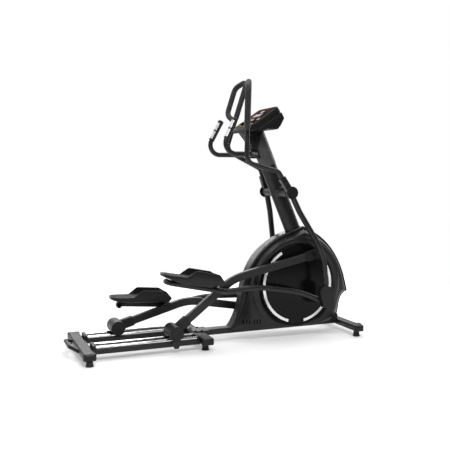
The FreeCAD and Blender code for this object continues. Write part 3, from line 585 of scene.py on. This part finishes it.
NODE_MATERIAL = {
    "roller_carriage_left": "powder_coat", "roller_carriage_right": "powder_coat",
    "frame_bolts": "black_steel",
}


def dress_cad_nodes():
    slots = {row["node"]: row["material_slot"] for row in frame["record"]["subparts"]}
    for name, node in frame["nodes"].items():
        put_material(node, NODE_MATERIAL.get(name, SLOT_MATERIAL[slots[name]]))
        if name in BEVELLED:
            bevel = node.modifiers.new("edge", "BEVEL")
            bevel.width = BEVELLED[name] * MM
            bevel.segments = 2
            bevel.limit_method = "ANGLE"
            bevel.angle_limit = SHARP_ANGLE
            bevel.harden_normals = False


# ---- Housing ----------------------------------------------------------------------
OPENING_R = 289 * MM
HOUSING_EDGE_Y = 50 * MM
HOUSING_FACE_Y = 108 * MM
SKIRT_Y = 92 * MM
TUBE_CLEAR_Y = 41 * MM
RIM_TOP_Y = 119.5 * MM
RETURN_Y, RETURN_R = 84 * MM, 275 * MM
SKIN = 2.4 * MM


def surface_tree(obj):
    mesh = obj.data
    return BVHTree.FromPolygons([v.co for v in mesh.vertices], [p.vertices for p in mesh.polygons])


def housing_reach(tree, angle, sign):
    """Distance from the crank axle to the housing's outer wall in one direction."""
    outward = Vector((math.cos(angle), 0, math.sin(angle)))
    start = Vector((CRANK.x, sign * 45 * MM, CRANK.z)) + outward * 1.5
    hit = tree.ray_cast(start, -outward)[0]
    return (Vector((hit.x, 0, hit.z)) - Vector((CRANK.x, 0, CRANK.z))).length


def housing_profile(reach, angle):
    """(radius, y) pairs from the joint line round the outer edge and in to the opening."""
    room = reach - OPENING_R
    small = min(1.0, room / (95 * MM))
    # along the bottom the side wall runs straight down past the base tube
    around = math.degrees(angle) % 360
    skirt = ease(around, 211.5, 224.0) * (1 - ease(around, 304.0, 313.8))
    edge_y = HOUSING_EDGE_Y + (SKIRT_Y - HOUSING_EDGE_Y) * skirt
    # the grooved lip runs down the rear edge only
    rear = ease(around, 66.0, 100.0) * (1 - ease(around, 204.0, 216.0))
    edge = (7 + 8 * rear) * MM * small
    lip = (2 + 9 * rear) * MM * small
    dip = rear * MM * small
    # the raised arch fades out towards the bottom of the disc
    up = ease(math.sin(angle), -0.75, 0.1)
    ridge_in, ridge_out = OPENING_R + 16 * MM * small, OPENING_R + 46 * MM * small
    foot = OPENING_R + 60 * MM * small
    face_top = HOUSING_FACE_Y - 12 * MM * up
    face_top = edge_y + (face_top - edge_y) * ease(room, 0.0, 60 * MM)
    crown = face_top + (RIM_TOP_Y - face_top) * (0.55 + 0.45 * up)
    inner_y = TUBE_CLEAR_Y * skirt
    points = [(reach, inner_y), (reach, inner_y + (edge_y - edge - inner_y) * 0.6)]
    for k in range(6):
        quarter = math.pi / 2 * k / 5
        points.append((reach - edge + edge * math.cos(quarter), edge_y - edge + edge * math.sin(quarter)))
    flat = reach - edge - lip
    points.append((flat, edge_y + 0.8 * dip))
    points.append((flat - 2.5 * MM * small, edge_y - 2.2 * dip))
    face_start = flat - 6 * MM * small
    points.append((face_start, edge_y - 1.2 * dip))
    for k in range(1, 9):
        s = k / 8
        swell = 1 - (1 - s) ** 2.4
        points.append((face_start + (foot - face_start) * s, edge_y + (face_top - edge_y) * swell))
    points.append((foot - 3 * MM * small, face_top + (crown - face_top) * 0.55))
    points.append((ridge_out, crown - 1.5 * MM * small))
    points.append((ridge_out - 7 * MM * small, crown))
    points.append((ridge_in + 4 * MM * small, crown))
    points.append((ridge_in, crown - 1.2 * MM * small))
    points.append((OPENING_R + 9 * MM * small, crown - 7 * MM * small))
    points.append((OPENING_R + 3 * MM * small, crown - 8.5 * MM * small))
    points.append((OPENING_R + 0.5 * MM, crown - 10 * MM * small - 1 * MM))
    points.append((OPENING_R, 97 * MM))
    points.append((OPENING_R, RETURN_Y))
    points.append((RETURN_R, RETURN_Y))
    return points


HOUSING_CORNERS = ((68, 72), (868, 72), (1026, 300), (651, 792), (505, 742))
VENT_GROUPS_X = (160 * MM, 236 * MM)
VENT_PITCH, VENT_WIDTH = 22 * MM, 8 * MM
VENT_LOW, VENT_HIGH = 120 * MM, 152 * MM
VENTS_IN_GROUP = 3
# Across-the-machine place of the dark sheet of painted shade behind the vents.
VENT_SHADE_SHEET_Y = (43 * MM, 45 * MM)
HOUSING_SCREWS = ((112, 118), (296, 98), (330, 640), (700, 756), (905, 480))


def housing_angles():
    steps = 300
    angles = [2 * math.pi * k / steps for k in range(steps)]
    corners = [math.atan2(z * MM - CRANK.z, x * MM - CRANK.x) % (2 * math.pi) for x, z in HOUSING_CORNERS]
    kept = [a for a in angles if all(abs(a - c) > 0.012 for c in corners)]
    return sorted(kept + corners + [c + 0.004 for c in corners] + [c - 0.004 for c in corners])


def build_housing(side):
    sign = SIDES[side]
    tree = surface_tree(frame["nodes"]["shroud_" + side])
    angles = housing_angles()
    rings = []
    for angle in angles:
        reach = housing_reach(tree, angle, sign)
        out_x, out_z = math.cos(angle), math.sin(angle)
        rings.append([Vector((CRANK.x + out_x * r, sign * y, CRANK.z + out_z * r))
                      for r, y in housing_profile(reach, angle)])
    count = len(rings[0])
    points = [p for ring in rings for p in ring]
    faces = rings_to_faces(len(rings), count, closed=False)
    last = (len(rings) - 1) * count
    faces += [(last + k, last + k + 1, k + 1, k) for k in range(count - 1)]
    shell = new_object("housing_" + side, points, faces)
    mark_edges(shell)
    if outside_is_in(shell, sign):
        shell.data.flip_normals()
    thick = shell.modifiers.new("thick", "SOLIDIFY")
    thick.thickness = SKIN
    thick.offset = -1.0
    bake_modifiers(shell)
    cutters = []
    for group in VENT_GROUPS_X:
        for k in range(VENTS_IN_GROUP):
            x = group + VENT_PITCH * k
            low, high = sorted((sign * 30 * MM, sign * 140 * MM))
            cutters.append(block("slot", (x, low, VENT_LOW), (x + VENT_WIDTH, high, VENT_HIGH)))
    cut_away(shell, join("slots", cutters))
    place(shell, "frame", "shell", ["shroud_" + side])
    return shell


def add_vent_shade_sheet(side):
    """Dark sheet behind the vents: painted shade standing in for the shaded inside of the housing."""
    sign = SIDES[side]
    y0, y1 = sorted((sign * VENT_SHADE_SHEET_Y[0], sign * VENT_SHADE_SHEET_Y[1]))
    last_slot = VENT_GROUPS_X[1] + VENT_PITCH * (VENTS_IN_GROUP - 1) + VENT_WIDTH
    low = (VENT_GROUPS_X[0] - 16 * MM, y0, VENT_LOW - 24 * MM)
    high = (last_slot + 14 * MM, y1, VENT_HIGH + 18 * MM)
    place(block("vent_shade_sheet_" + side, low, high), "frame", "rubber")


def outside_is_in(shell, sign):
    """True if the side face of a housing half points towards the middle."""
    face = max(shell.data.polygons, key=lambda p: sign * p.center.y)
    return face.normal.y * sign < 0


def surface_at(tree, x, z, sign):
    hit, normal, _, _ = tree.ray_cast(Vector((x, sign * 0.3, z)), Vector((0, -sign, 0)))
    return (hit, normal) if hit is not None else (None, None)


SCREW_PROFILE = ((0, -3), (4.6, -3), (4.6, 0.2), (4.1, 0.9), (2.2, 1.1), (2.0, -0.6), (0, -0.7))


def screw(name, at, axis, size=1.0):
    profile = [(r * MM * size, h * MM * size) for r, h in SCREW_PROFILE]
    return lathe(name, at, axis, profile, 18)


def add_housing_screws(side, shell):
    sign = SIDES[side]
    tree = surface_tree(shell)
    heads = []
    for x, z in HOUSING_SCREWS:
        at, normal = surface_at(tree, x * MM, z * MM, sign)
        if at is not None:
            outward = normal if normal.y * sign > 0 else -normal
            heads.append(screw("head", at, outward))
    place(join("housing_screws_" + side, heads), "frame", "black_steel")


def add_inlet_boss():
    """Ring round the power socket, standing out of the right half."""
    low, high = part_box("power_inlet")
    centre = (low + high) / 2
    profile = ((19.2, -12), (19.2, 7.5), (20.2, 8.6), (24.5, 8.6), (26.0, 7), (27.5, -14))
    ring = lathe("inlet_boss", (centre.x, low.y + 10 * MM, centre.z), (0, -1, 0),
                 [(r * MM, h * MM) for r, h in profile], 40)
    place(ring, "frame", "shell")


# ---- Crank discs ---------------------------------------------------------------------
WHITE_R = (254 * MM, 273 * MM)
WHITE_ARCS = ((119, 254), (281, 395))
DISC_SCREW_R = 190 * MM
DISC_SCREW_LEAD = 2


def round_crank(radius, degrees, y):
    """A point at a distance and an angle from the crank axle."""
    angle = math.radians(degrees)
    return Vector((CRANK.x + radius * math.cos(angle), y, CRANK.z + radius * math.sin(angle)))


def arc_plate(name, radii, start, end, y0, y1):
    """Flat curved strip with square ends, angles in degrees round the crank axle."""
    rings = []
    count = max(2, round((end - start) / 1.5))
    for k in range(count + 1):
        degrees = start + (end - start) * k / count
        corners = ((radii[0], y0), (radii[1], y0), (radii[1], y1), (radii[0], y1))
        rings.append([round_crank(r, degrees, y) for r, y in corners])
    return capped(name, rings)


def add_disc_trim(side):
    sign = SIDES[side]
    turn = PIN_PHASE[side] - PIN_PHASE["right"]
    low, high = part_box("crank_discs")
    face = high.y if sign > 0 else low.y
    y0, y1 = sorted((face - sign * 0.3 * MM, face + sign * 0.5 * MM))
    strips = [arc_plate("arc", WHITE_R, a + turn, b + turn, y0, y1) for a, b in WHITE_ARCS]
    place(join("disc_rings_" + side, strips), "crankset", "white")
    heads = []
    for k in range(4):
        at = round_crank(DISC_SCREW_R, PIN_PHASE[side] + DISC_SCREW_LEAD + 90 * k, face)
        heads.append(screw("head", at, (0, sign, 0), 1.1))
    place(join("disc_screws_" + side, heads), "crankset", "black_steel")
    bead = ((281.5, -2), (281.5, 0.2), (280.8, 0.8), (279.6, 0.8), (278.8, 0.2), (278.8, -2))
    ring = lathe_ring("disc_bead_" + side, (CRANK.x, face, CRANK.z), (0, sign, 0), bead, 128)
    place(ring, "crankset", "gloss")


def lathe_ring(name, origin, axis, profile_mm, segments):
    """A closed ring turned from a closed profile of (radius, height) pairs in millimetres."""
    axis = Vector(axis).normalized()
    first, second = across(axis)
    rings = []
    for k in range(segments):
        angle = 2 * math.pi * k / segments
        outward = first * math.cos(angle) + second * math.sin(angle)
        rings.append([Vector(origin) + axis * h * MM + outward * r * MM for r, h in profile_mm])
    return looped(name, rings)


# ---- Pedals ---------------------------------------------------------------------------
CRANK_R = 242 * MM
PEDAL_MID_Y = 185 * MM
# The rest of the tray is in millimetres from the pedal pivot: u forward, w across, v up.
PEDAL_HALF = 85.0
PEDAL_REAR, PEDAL_FRONT = -440, -20
HEEL_RADIUS = 62
FLOOR_V = 67
RIM_TOP = ((-440, 70), (-298, 70), (-288, 73), (-238, 114), (-226, 118),
           (-74, 112.5), (-60, 106), (-22, 62), (-20, 60))
UNDERSIDE = ((-440, 54), (-430, 50), (-372, 37), (-45, 35), (-36, 36), (-20, 58))
WALL = 7


def pedal_section(u):
    """Half outline (across, up) of a foot tray at a place along it, from keel to middle of floor."""
    half = PEDAL_HALF
    if u < PEDAL_REAR + HEEL_RADIUS:
        away = HEEL_RADIUS - (u - PEDAL_REAR)
        half = PEDAL_HALF - HEEL_RADIUS + math.sqrt(max(0.0, HEEL_RADIUS ** 2 - away ** 2))
        half = max(half, PEDAL_HALF - HEEL_RADIUS + 4)
    top = along_line(u, RIM_TOP)
    under = along_line(u, UNDERSIDE)
    floor = max(FLOOR_V, FLOOR_V + (top - FLOOR_V) * ease(u, -84, -70))
    floor = min(floor, top)
    bend = min(4.0, (top - under) / 4)
    quarter = 0.25 * (top - floor)
    return [(0, under), (half - 9, under), (half - 2.5, under + bend * 0.7), (half, under + bend * 2),
            (half, top - 3), (half - 1, top - 0.8), (half - 3, top), (half - 5.5, top - 0.3),
            (half - WALL, top - 0.3 - quarter), (half - WALL - 0.5, floor + quarter),
            (half - WALL - 3, floor), (0, floor)]


def on_tray(side, u, w, v):
    """A point in the foot tray's own directions, at rest."""
    pivot = joint_place("pedal_pivot_" + side)
    return turned((u * MM, PEDAL_MID_Y + w * MM, v * MM), pivot, LINK_REST[side], SIDES[side])


def build_pedal(side):
    stations = [PEDAL_REAR + 0.6 * k ** 2 for k in range(11)]
    while stations[-1] < PEDAL_FRONT - 4:
        stations.append(stations[-1] + 4.0)
    stations.append(PEDAL_FRONT)
    rings = []
    for u in stations:
        half = pedal_section(u)
        loop = half + [(-w, v) for w, v in reversed(half[1:-1])]
        rings.append([on_tray(side, u, w, v) for w, v in loop])
    tray = capped("foot_tray_" + side, rings)
    place(tray, "pedal_link_" + side, "cover", ["pedal_" + side])
    build_tread(side)


TREAD_REAR, TREAD_FRONT, TREAD_HALF, TREAD_TOP = -432, -92, 71, 69.6
TREAD_HEEL = 50
STUD_PITCH = 13.0
STUD_RINGS = ((4.2, -0.5), (3.6, 1.0), (2.8, 1.4))


def tread_half(u):
    away = TREAD_HEEL - (u - TREAD_REAR)
    if away <= 0:
        return TREAD_HALF
    return TREAD_HALF - (TREAD_HEEL - math.sqrt(max(0.0, TREAD_HEEL ** 2 - away ** 2)))


def stud(side, u, w):
    rings = []
    for radius, rise in STUD_RINGS:
        corners = [math.pi / 4 * k for k in range(8)]
        rings.append([on_tray(side, u + radius * math.cos(a), w + radius * math.sin(a), TREAD_TOP + rise)
                      for a in corners])
    return capped("stud", rings)


def build_tread(side):
    """Rubber tread: a thin plate with rows of raised studs, rounded at the heel."""
    steps = [TREAD_REAR + 0.5 * k ** 2 for k in range(11)] + [TREAD_FRONT]
    rim = [(u, tread_half(u)) for u in steps]
    outline = rim + [(u, -w) for u, w in reversed(rim)]
    plate = capped("plate", [[on_tray(side, u, w, v) for u, w in outline] for v in (FLOOR_V - 1, TREAD_TOP)])
    studs = [plate]
    rows = int((TREAD_FRONT - TREAD_REAR - 16) / STUD_PITCH)
    for row in range(rows + 1):
        u = TREAD_REAR + 10 + row * STUD_PITCH
        shift = STUD_PITCH / 2 if row % 2 else 0.0
        for col in range(-6, 7):
            w = col * STUD_PITCH + shift
            if abs(w) < tread_half(u) - 7:
                studs.append(stud(side, u, w))
    tread = join("foot_tread_" + side, studs)
    place(tread, "pedal_link_" + side, "rubber", ["pedal_pad_" + side])


# ---- Moving handlebars -----------------------------------------------------------------
CORNER_POINT = Vector((-274, 270, 318))
TOP_POINT = Vector((-78, 270, 818))
LOOP_OFFSET = Vector((-39, 90, 15))
FOAM_R, BARE_R = 19.7 * MM, 16.6 * MM
RIB_PITCH = 6.0 * MM
LOOP_BENDS = (24 * MM, 60 * MM, 60 * MM)


def foam_radius(length):
    """Radius along a foam grip: soft ribs, closed ends."""
    def radius(gone):
        end = min(gone, length - gone)
        rib = 0.35 * MM * abs(math.sin(math.pi * gone / RIB_PITCH))
        return BARE_R + (FOAM_R - BARE_R) * ease(end, -1 * MM, 4 * MM) + rib * ease(end, 3 * MM, 8 * MM)
    return radius


def loop_points():
    down = (CORNER_POINT - TOP_POINT).normalized()
    high = TOP_POINT + down * 62 + LOOP_OFFSET
    low = TOP_POINT + down * 272 + LOOP_OFFSET
    foot = TOP_POINT + down * 322
    return down, high, low, foot


def add_hand_foam(side):
    """One foam grip up the riser and all round the hand loop."""
    sign = SIDES[side]
    down, high, low, foot = loop_points()
    start = TOP_POINT + down * 296
    end = foot + (low - foot).normalized() * 20
    corners = [turned(p * MM, SWING, SWING_REST[side], sign) for p in (start, TOP_POINT, high, low, end)]
    path = rounded_path(corners, LOOP_BENDS, 1.5 * MM)
    grip = sleeve("hand_foam_" + side, path, foam_radius(path_length(path)))
    place(grip, "swing_arm_" + side, "foam", ["hand_grips_" + side])


def add_sleeve_bolts(side):
    """Two clamp bolts on the outer face of the swing arm's square sleeve."""
    sign = SIDES[side]
    heads = []
    lean = math.atan2(25, 102)
    for reach in (44, 98):
        spot = Vector((-reach * math.sin(lean), 214, reach * math.cos(lean)))
        at = turned(spot * MM, SWING, SWING_REST[side], sign)
        heads.append(screw("head", at, (0, sign, 0), 1.6))
    place(join("sleeve_bolts_" + side, heads), "swing_arm_" + side, "black_steel")


# ---- Fixed handlebar ---------------------------------------------------------------------
FIXED_CORNER, FIXED_TIP = Vector((-38, 150, 1302)), Vector((83, 130, 1536))


def add_fixed_grip(side):
    """Moulded grip with a domed end, two raised collars and seats for the bright plates."""
    sign = SIDES[side]
    along = (FIXED_TIP - FIXED_CORNER).normalized()
    start = FIXED_TIP - along * 150
    mirror = Vector((1, sign, 1))
    axis = (along * mirror).normalized()
    profile = [(16.6, 0), (19.0, 0.4), (20.6, 2.5), (20.8, 5), (19.6, 7.5)]
    profile += [(19.6, 74), (20.3, 75), (20.3, 78.5), (19.6, 79.5), (19.6, 134)]
    profile += [(20.8, 136), (20.9, 141), (20.0, 149), (17.0, 153.5), (11, 156.3), (4, 157.2), (0, 157.3)]
    grip = lathe("fixed_grip_" + side, start * mirror * MM, axis, [(r * MM, h * MM) for r, h in profile], 36)
    place(grip, "frame", "foam", ["fixed_grips"] if side == "left" else ())


# ---- Mast and console ----------------------------------------------------------------------
MAST_LEAN = math.radians(23.3)
MAST_UP = Vector((-math.sin(MAST_LEAN), 0, math.cos(MAST_LEAN)))
MAST_OUT = Vector((math.cos(MAST_LEAN), 0, math.sin(MAST_LEAN)))
PANEL_LOW, PANEL_HIGH = 205 * MM, 455 * MM


def add_mast_panel():
    """Lighter trim shell round the top of the mast, square to the neck at its upper end."""
    rings = []
    profile = ((PANEL_LOW, 0.2), (PANEL_LOW + 1 * MM, 2.0), (PANEL_LOW + 3 * MM, 2.6))
    rows = [(h, g) for h, g in profile] + [(PANEL_HIGH, 2.6)]
    outer = rows + [(PANEL_HIGH, -1.2), (PANEL_LOW, -1.2)]
    segments = 72
    for k in range(segments):
        angle = 2 * math.pi * k / segments
        ring = []
        for height, grow in outer:
            out = MAST_OUT * (59 + grow) * MM * math.cos(angle)
            ring.append(SWING + MAST_UP * height + out + Vector((0, (38 + grow) * MM * math.sin(angle), 0)))
        rings.append(ring)
    panel = looped("mast_panel", rings)
    bevel_cut = block("above", (100 * MM, -80 * MM, 1404 * MM), (700 * MM, 80 * MM, 1700 * MM))
    # the upper end follows the neck's slanting edge from its low corner
    slope = math.atan2(53, 57)
    to_corner = Matrix.Translation(Vector((269 * MM, 0, 1404 * MM)))
    bevel_cut.data.transform(to_corner @ Matrix.Rotation(-slope, 4, "Y") @ to_corner.inverted())
    cut_away(panel, bevel_cut)
    place(panel, "frame", "panel")


FACE_LOW, FACE_HIGH = Vector((188, 0, 1493)) * MM, Vector((393, 0, 1633)) * MM
FACE_UP = (FACE_HIGH - FACE_LOW).normalized()
FACE_OUT = Vector((-FACE_UP.z, 0, FACE_UP.x))
FACE_LENGTH = (FACE_HIGH - FACE_LOW).length / MM
BAND_DEPTH = 46
KEY_PLACES = ((42, 30), (42, -30))


def on_face(s, y, h):
    """A point by its distance up the console's face, across it and above it, in millimetres."""
    return FACE_LOW + (FACE_UP * s + Vector((0, y, 0)) + FACE_OUT * h) * MM


def rounded_rectangle(s0, s1, y0, y1, radius, steps=6):
    corners = ((s1 - radius, y1 - radius, 0), (s0 + radius, y1 - radius, 1),
               (s0 + radius, y0 + radius, 2), (s1 - radius, y0 + radius, 3))
    outline = []
    for s, y, quarter in corners:
        for k in range(steps + 1):
            angle = math.pi / 2 * (quarter + k / steps)
            outline.append((s + radius * math.cos(angle), y + radius * math.sin(angle)))
    return outline


def face_plate(name, s0, s1, y0, y1, radius, h0, h1, edge=0.0):
    """A plate with rounded corners lying on the console's face."""
    rows = [(h0, 0.0), (h1 - edge, 0.0), (h1, edge)] if edge else [(h0, 0.0), (h1, 0.0)]
    rings = []
    for height, shrink in rows:
        corner = max(radius - shrink, 0.3)
        outline = rounded_rectangle(s0 + shrink, s1 - shrink, y0 + shrink, y1 - shrink, corner)
        rings.append([on_face(s, y, height) for s, y in outline])
    return capped(name, rings)


SCREENS = ((180, 200, -30, 30), (126, 162, -60, 60), (76, 94, -45, 45),
           (75, 92, -138, -100), (75, 92, 100, 138))
HUMP_LINE = ((232, 1466), (286, 1460), (311, 1472), (391, 1472),
             (416, 1500), (444, 1551), (420, 1593), (400, 1580))
NECK_LINE = ((180, 1449), (215, 1408), (243, 1366), (249, 1336),
             (286, 1336), (326, 1457), (322, 1470), (186, 1470))
HUMP_HALF, NECK_HALF = 151, 45
KEY_HOLE_R = 9.6 * MM


def cut_key_holes(piece, depth):
    for s, y in KEY_PLACES:
        profile = [(KEY_HOLE_R, 0), (KEY_HOLE_R, 40 * MM)]
        cut_away(piece, lathe("hole", on_face(s, y, -depth), FACE_OUT, profile, 32))


def build_console_shell():
    band = face_plate("console_band", 0, FACE_LENGTH, -155, 155, 30, -BAND_DEPTH, 0, 0)
    lip = face_plate("lip", -32, 40, -140, 140, 22, -31, -3, 0)
    soften(lip, 6 * MM, 3)
    place(lip, "frame", "console")
    soften(band, 8 * MM, 4)
    cut_key_holes(band, 19)
    place(band, "frame", "console", ["console_front", "console_back"])


def build_console_face():
    """The printed film with its windows, bars, stripes and buttons."""
    film = face_plate("console_film", 10, FACE_LENGTH - 9, -145, 145, 24, -1, 0.7, 0.3)
    cut_key_holes(film, 5)
    place(film, "frame", "film")

    frames, windows = [], []
    for s0, s1, y0, y1 in SCREENS:
        frames.append(face_plate("frame", s0 - 4, s1 + 4, y0 - 4, y1 + 4, 6, 0.2, 1.2, 0.3))
        windows.append(face_plate("window", s0, s1, y0, y1, 3, 0.6, 1.7, 0.3))
    place(join("console_screens", windows), "frame", "screen")
    place(join("console_screen_frames", frames), "frame", "orange")

    accents = []
    for y in (-118, -88, 88, 118):
        accents.append(face_plate("bar", 22, 34, y - 11, y + 11, 4, 0.2, 1.3, 0.4))
    accents.append(face_plate("bar", 11.5, 14.5, -128, 128, 1.2, 0.2, 1.1, 0.3))
    place(join("console_accents", accents), "frame", "yellow")

    stripes = [face_plate("stripe", 212, 214.5, -120, 120, 1.2, 0.2, 1.1, 0.3),
               face_plate("stripe", 110, 112.5, -138, 138, 1.2, 0.2, 1.1, 0.3),
               face_plate("stripe", 219, 221, -96, 96, 0.9, 0.2, 1.0, 0.3)]
    for y in (-104, 104):
        stripes.append(face_plate("stripe", 122, 206, y - 1.5, y + 1.5, 1.2, 0.2, 1.1, 0.3))
    place(join("console_stripes", stripes), "frame", "orange")

    buttons = []
    for y in (-76, -56, 0, 56, 76):
        buttons.append(face_plate("button", 50, 62, y - 7, y + 7, 5, 0.2, 2.4, 0.8))
    place(join("console_buttons", buttons), "frame", "console")


def build_console_rear():
    hump = slab("console_hump", HUMP_LINE, HUMP_HALF)
    soften(hump, 9 * MM, 4)
    place(hump, "frame", "console")

    neck = slab("console_neck", NECK_LINE, NECK_HALF)
    soften(neck, 5 * MM, 3)
    place(neck, "frame", "cover")
    for side, sign in SIDES.items():
        heads = [screw("head", Vector((x, sign * HUMP_HALF, z)) * MM, (0, sign, 0), 1.1)
                 for x, z in ((360, 1500), (396, 1540))]
        place(join("console_screws_" + side, heads), "frame", "black_steel")
    add_rear_hook()


def slab(name, outline, half):
    """A straight-sided piece drawn in side view, symmetric about the middle."""
    rings = [[Vector((x, y, z)) * MM for x, z in outline] for y in (-half, half)]
    return capped(name, rings)


HOOK_HALF, HOOK_R = 60, 4.5 * MM


def add_rear_hook():
    """Curved hanger behind the console."""
    side_line = ((400, 1490), (436, 1484), (452, 1512))
    points = [Vector((x, -HOOK_HALF, z)) for x, z in side_line]
    points += [Vector((x, HOOK_HALF, z)) for x, z in reversed(side_line)]
    path = rounded_path([p * MM for p in points], [12 * MM, 14 * MM, 14 * MM, 12 * MM], 3 * MM)
    hook = sleeve("console_hook", path, lambda gone: HOOK_R, 16)
    place(hook, "frame", "cover")


# ---- Feet ------------------------------------------------------------------------------------
FOOT_TOPS = {-945: 35, -157: 42, 987: 40}
FOOT_SPOTS = ((-945, 296), (-157, 192), (987, 240))


def build_feet():
    knobs, studs = [], []
    for x, y in FOOT_SPOTS:
        top = FOOT_TOPS[x]
        for sign in SIDES.values():
            at = Vector((x, sign * y, 0)) * MM
            rows = [(0, 0.0), (23.6, 0.0), (25.0, 1.4), (25.0, 6.0), (22.5, 9.0), (20.5, top - 9.0),
                    (19.5, top - 3.0), (17.0, top - 1.0), (0, top - 1.0)]
            knobs.append(ribbed_knob(at, rows))
            profile = [(0, top - 1.5), (6, top - 1.5), (6, top), (0, top)]
            studs.append(lathe("stud", at, (0, 0, 1), [(r * MM, h * MM) for r, h in profile], 20))
    place(join("foot_knobs", knobs), "frame", "rubber", ["levelling_feet"])
    place(join("foot_studs", studs), "frame", "black_steel")


def ribbed_knob(at, rows):
    """Turned rubber foot whose waist has twelve upright ribs."""
    rings = []
    for radius, height in rows:
        ring = []
        for k in range(72):
            angle = 2 * math.pi * k / 72
            rib = 1.4 * ease(math.cos(12 * angle), -0.3, 0.5) if 7 < height and radius > 18 else 0.0
            reach = max(radius - rib, 0.05) * MM
            ring.append(at + Vector((reach * math.cos(angle), reach * math.sin(angle), height * MM)))
        rings.append(ring)
    return capped("knob", rings)


# ---- Beam ends ----------------------------------------------------------------------------------
BEAM_ENDS = ((-985.5, -904.5, 34.5, 80.5, 290, 327), (-197.5, -116.5, 41.5, 88.5, 230, 264),
             (952.5, 1021.5, 39.5, 86.5, 262, 295))
CAP_ROUND = 21


def build_beam_ends():
    """Pillow-shaped plastic caps over both ends of the three floor beams."""
    caps = []
    for x0, x1, z0, z1, y0, y1 in BEAM_ENDS:
        for sign in SIDES.values():
            rings = []
            for k in range(13):
                reach = y0 + (y1 - y0) * math.sin(math.pi / 2 * k / 12)
                start = y1 - CAP_ROUND
                t = max(0.0, min(0.985, (reach - start) / CAP_ROUND))
                inset = CAP_ROUND * (1 - math.sqrt(1 - t * t))
                corner = max(2.0, 9.0 - inset * 0.3)
                drop = inset * 0.8
                outline = rounded_rectangle(x0 + inset, x1 - inset, z0 + drop, z1 - drop, corner)
                rings.append([Vector((x, sign * reach, z)) * MM for x, z in outline])
            caps.append(capped("cap", rings))
    place(join("beam_caps", caps), "frame", "cover", ["beam_end_caps"])


# ---- Small fittings ---------------------------------------------------------------------------
STRIP_TOP = 89.6


def add_mid_beam_plates():
    """Cover strips along the top of the middle beam, with four screws on the left one."""
    strips = []
    for y0, y1 in ((9, 236), (-236, 6)):
        low, high = Vector((-192, y0, 87)) * MM, Vector((-122, y1, STRIP_TOP)) * MM
        strips.append(soften(block("strip", low, high), 1.0 * MM))
    place(join("mid_beam_covers", strips), "frame", "cover")
    heads = [screw("head", Vector((x, y, STRIP_TOP)) * MM, (0, 0, 1), 0.9)
             for x in (-176, -138) for y in (70, 190)]
    place(join("mid_beam_screws", heads), "frame", "black_steel")


def add_tray_bracket(side):
    """Stiff channel that joins the foot tray to its link."""
    sign = SIDES[side]
    pivot = joint_place("pedal_pivot_" + side)
    outline = [(-352, 52), (-352, 30), (-300, 14), (-92, 16), (-74, 30), (-74, 52)]
    rings = []
    for y in (172, 230):
        rings.append([turned((u * MM, y * MM, v * MM), pivot, LINK_REST[side], sign) for u, v in outline])
    bracket = soften(capped("tray_bracket_" + side, rings), 3 * MM, 3)
    place(bracket, "pedal_link_" + side, "powder_coat")


def add_joint_bolts(side):
    """Bolt heads on the crank joint and on the swing arm's lower cover."""
    sign = SIDES[side]
    low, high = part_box("crank_joint_" + side)
    face = high.y if sign > 0 else low.y
    pin = round_crank(CRANK_R, PIN_PHASE[side], face)
    hex_head = [(0, -1), (9.5, -1), (9.5, 4), (8.5, 5), (4.2, 5), (4.2, 3.4), (0, 3.4)]
    bolt = lathe("crank_joint_bolt_" + side, pin, (0, sign, 0), [(r * MM, h * MM) for r, h in hex_head], 24)
    place(bolt, "roller_arm_" + side, "black_steel")
    heads = []
    for x, z in ((-28, -735), (22, -742), (-18, -828)):
        at = turned((x * MM, 270 * MM, z * MM), SWING, SWING_REST[side], sign)
        heads.append(screw("head", at, (0, sign, 0), 1.2))
    place(join("swing_cover_screws_" + side, heads), "swing_arm_" + side, "black_steel")


# ---- Everything -----------------------------------------------------------------------------
def build_looks():
    dress_cad_nodes()
    build_feet()
    build_beam_ends()
    add_inlet_boss()
    add_mid_beam_plates()
    add_mast_panel()
    build_console_shell()
    build_console_face()
    build_console_rear()
    for side in SIDES:
        shell = build_housing(side)
        add_housing_screws(side, shell)
        add_vent_shade_sheet(side)
        add_disc_trim(side)
        build_pedal(side)
        add_hand_foam(side)
        add_sleeve_bolts(side)
        add_fixed_grip(side)
        add_tray_bracket(side)
        add_joint_bolts(side)


add_camera()
add_floor()
add_lights()
build_looks()
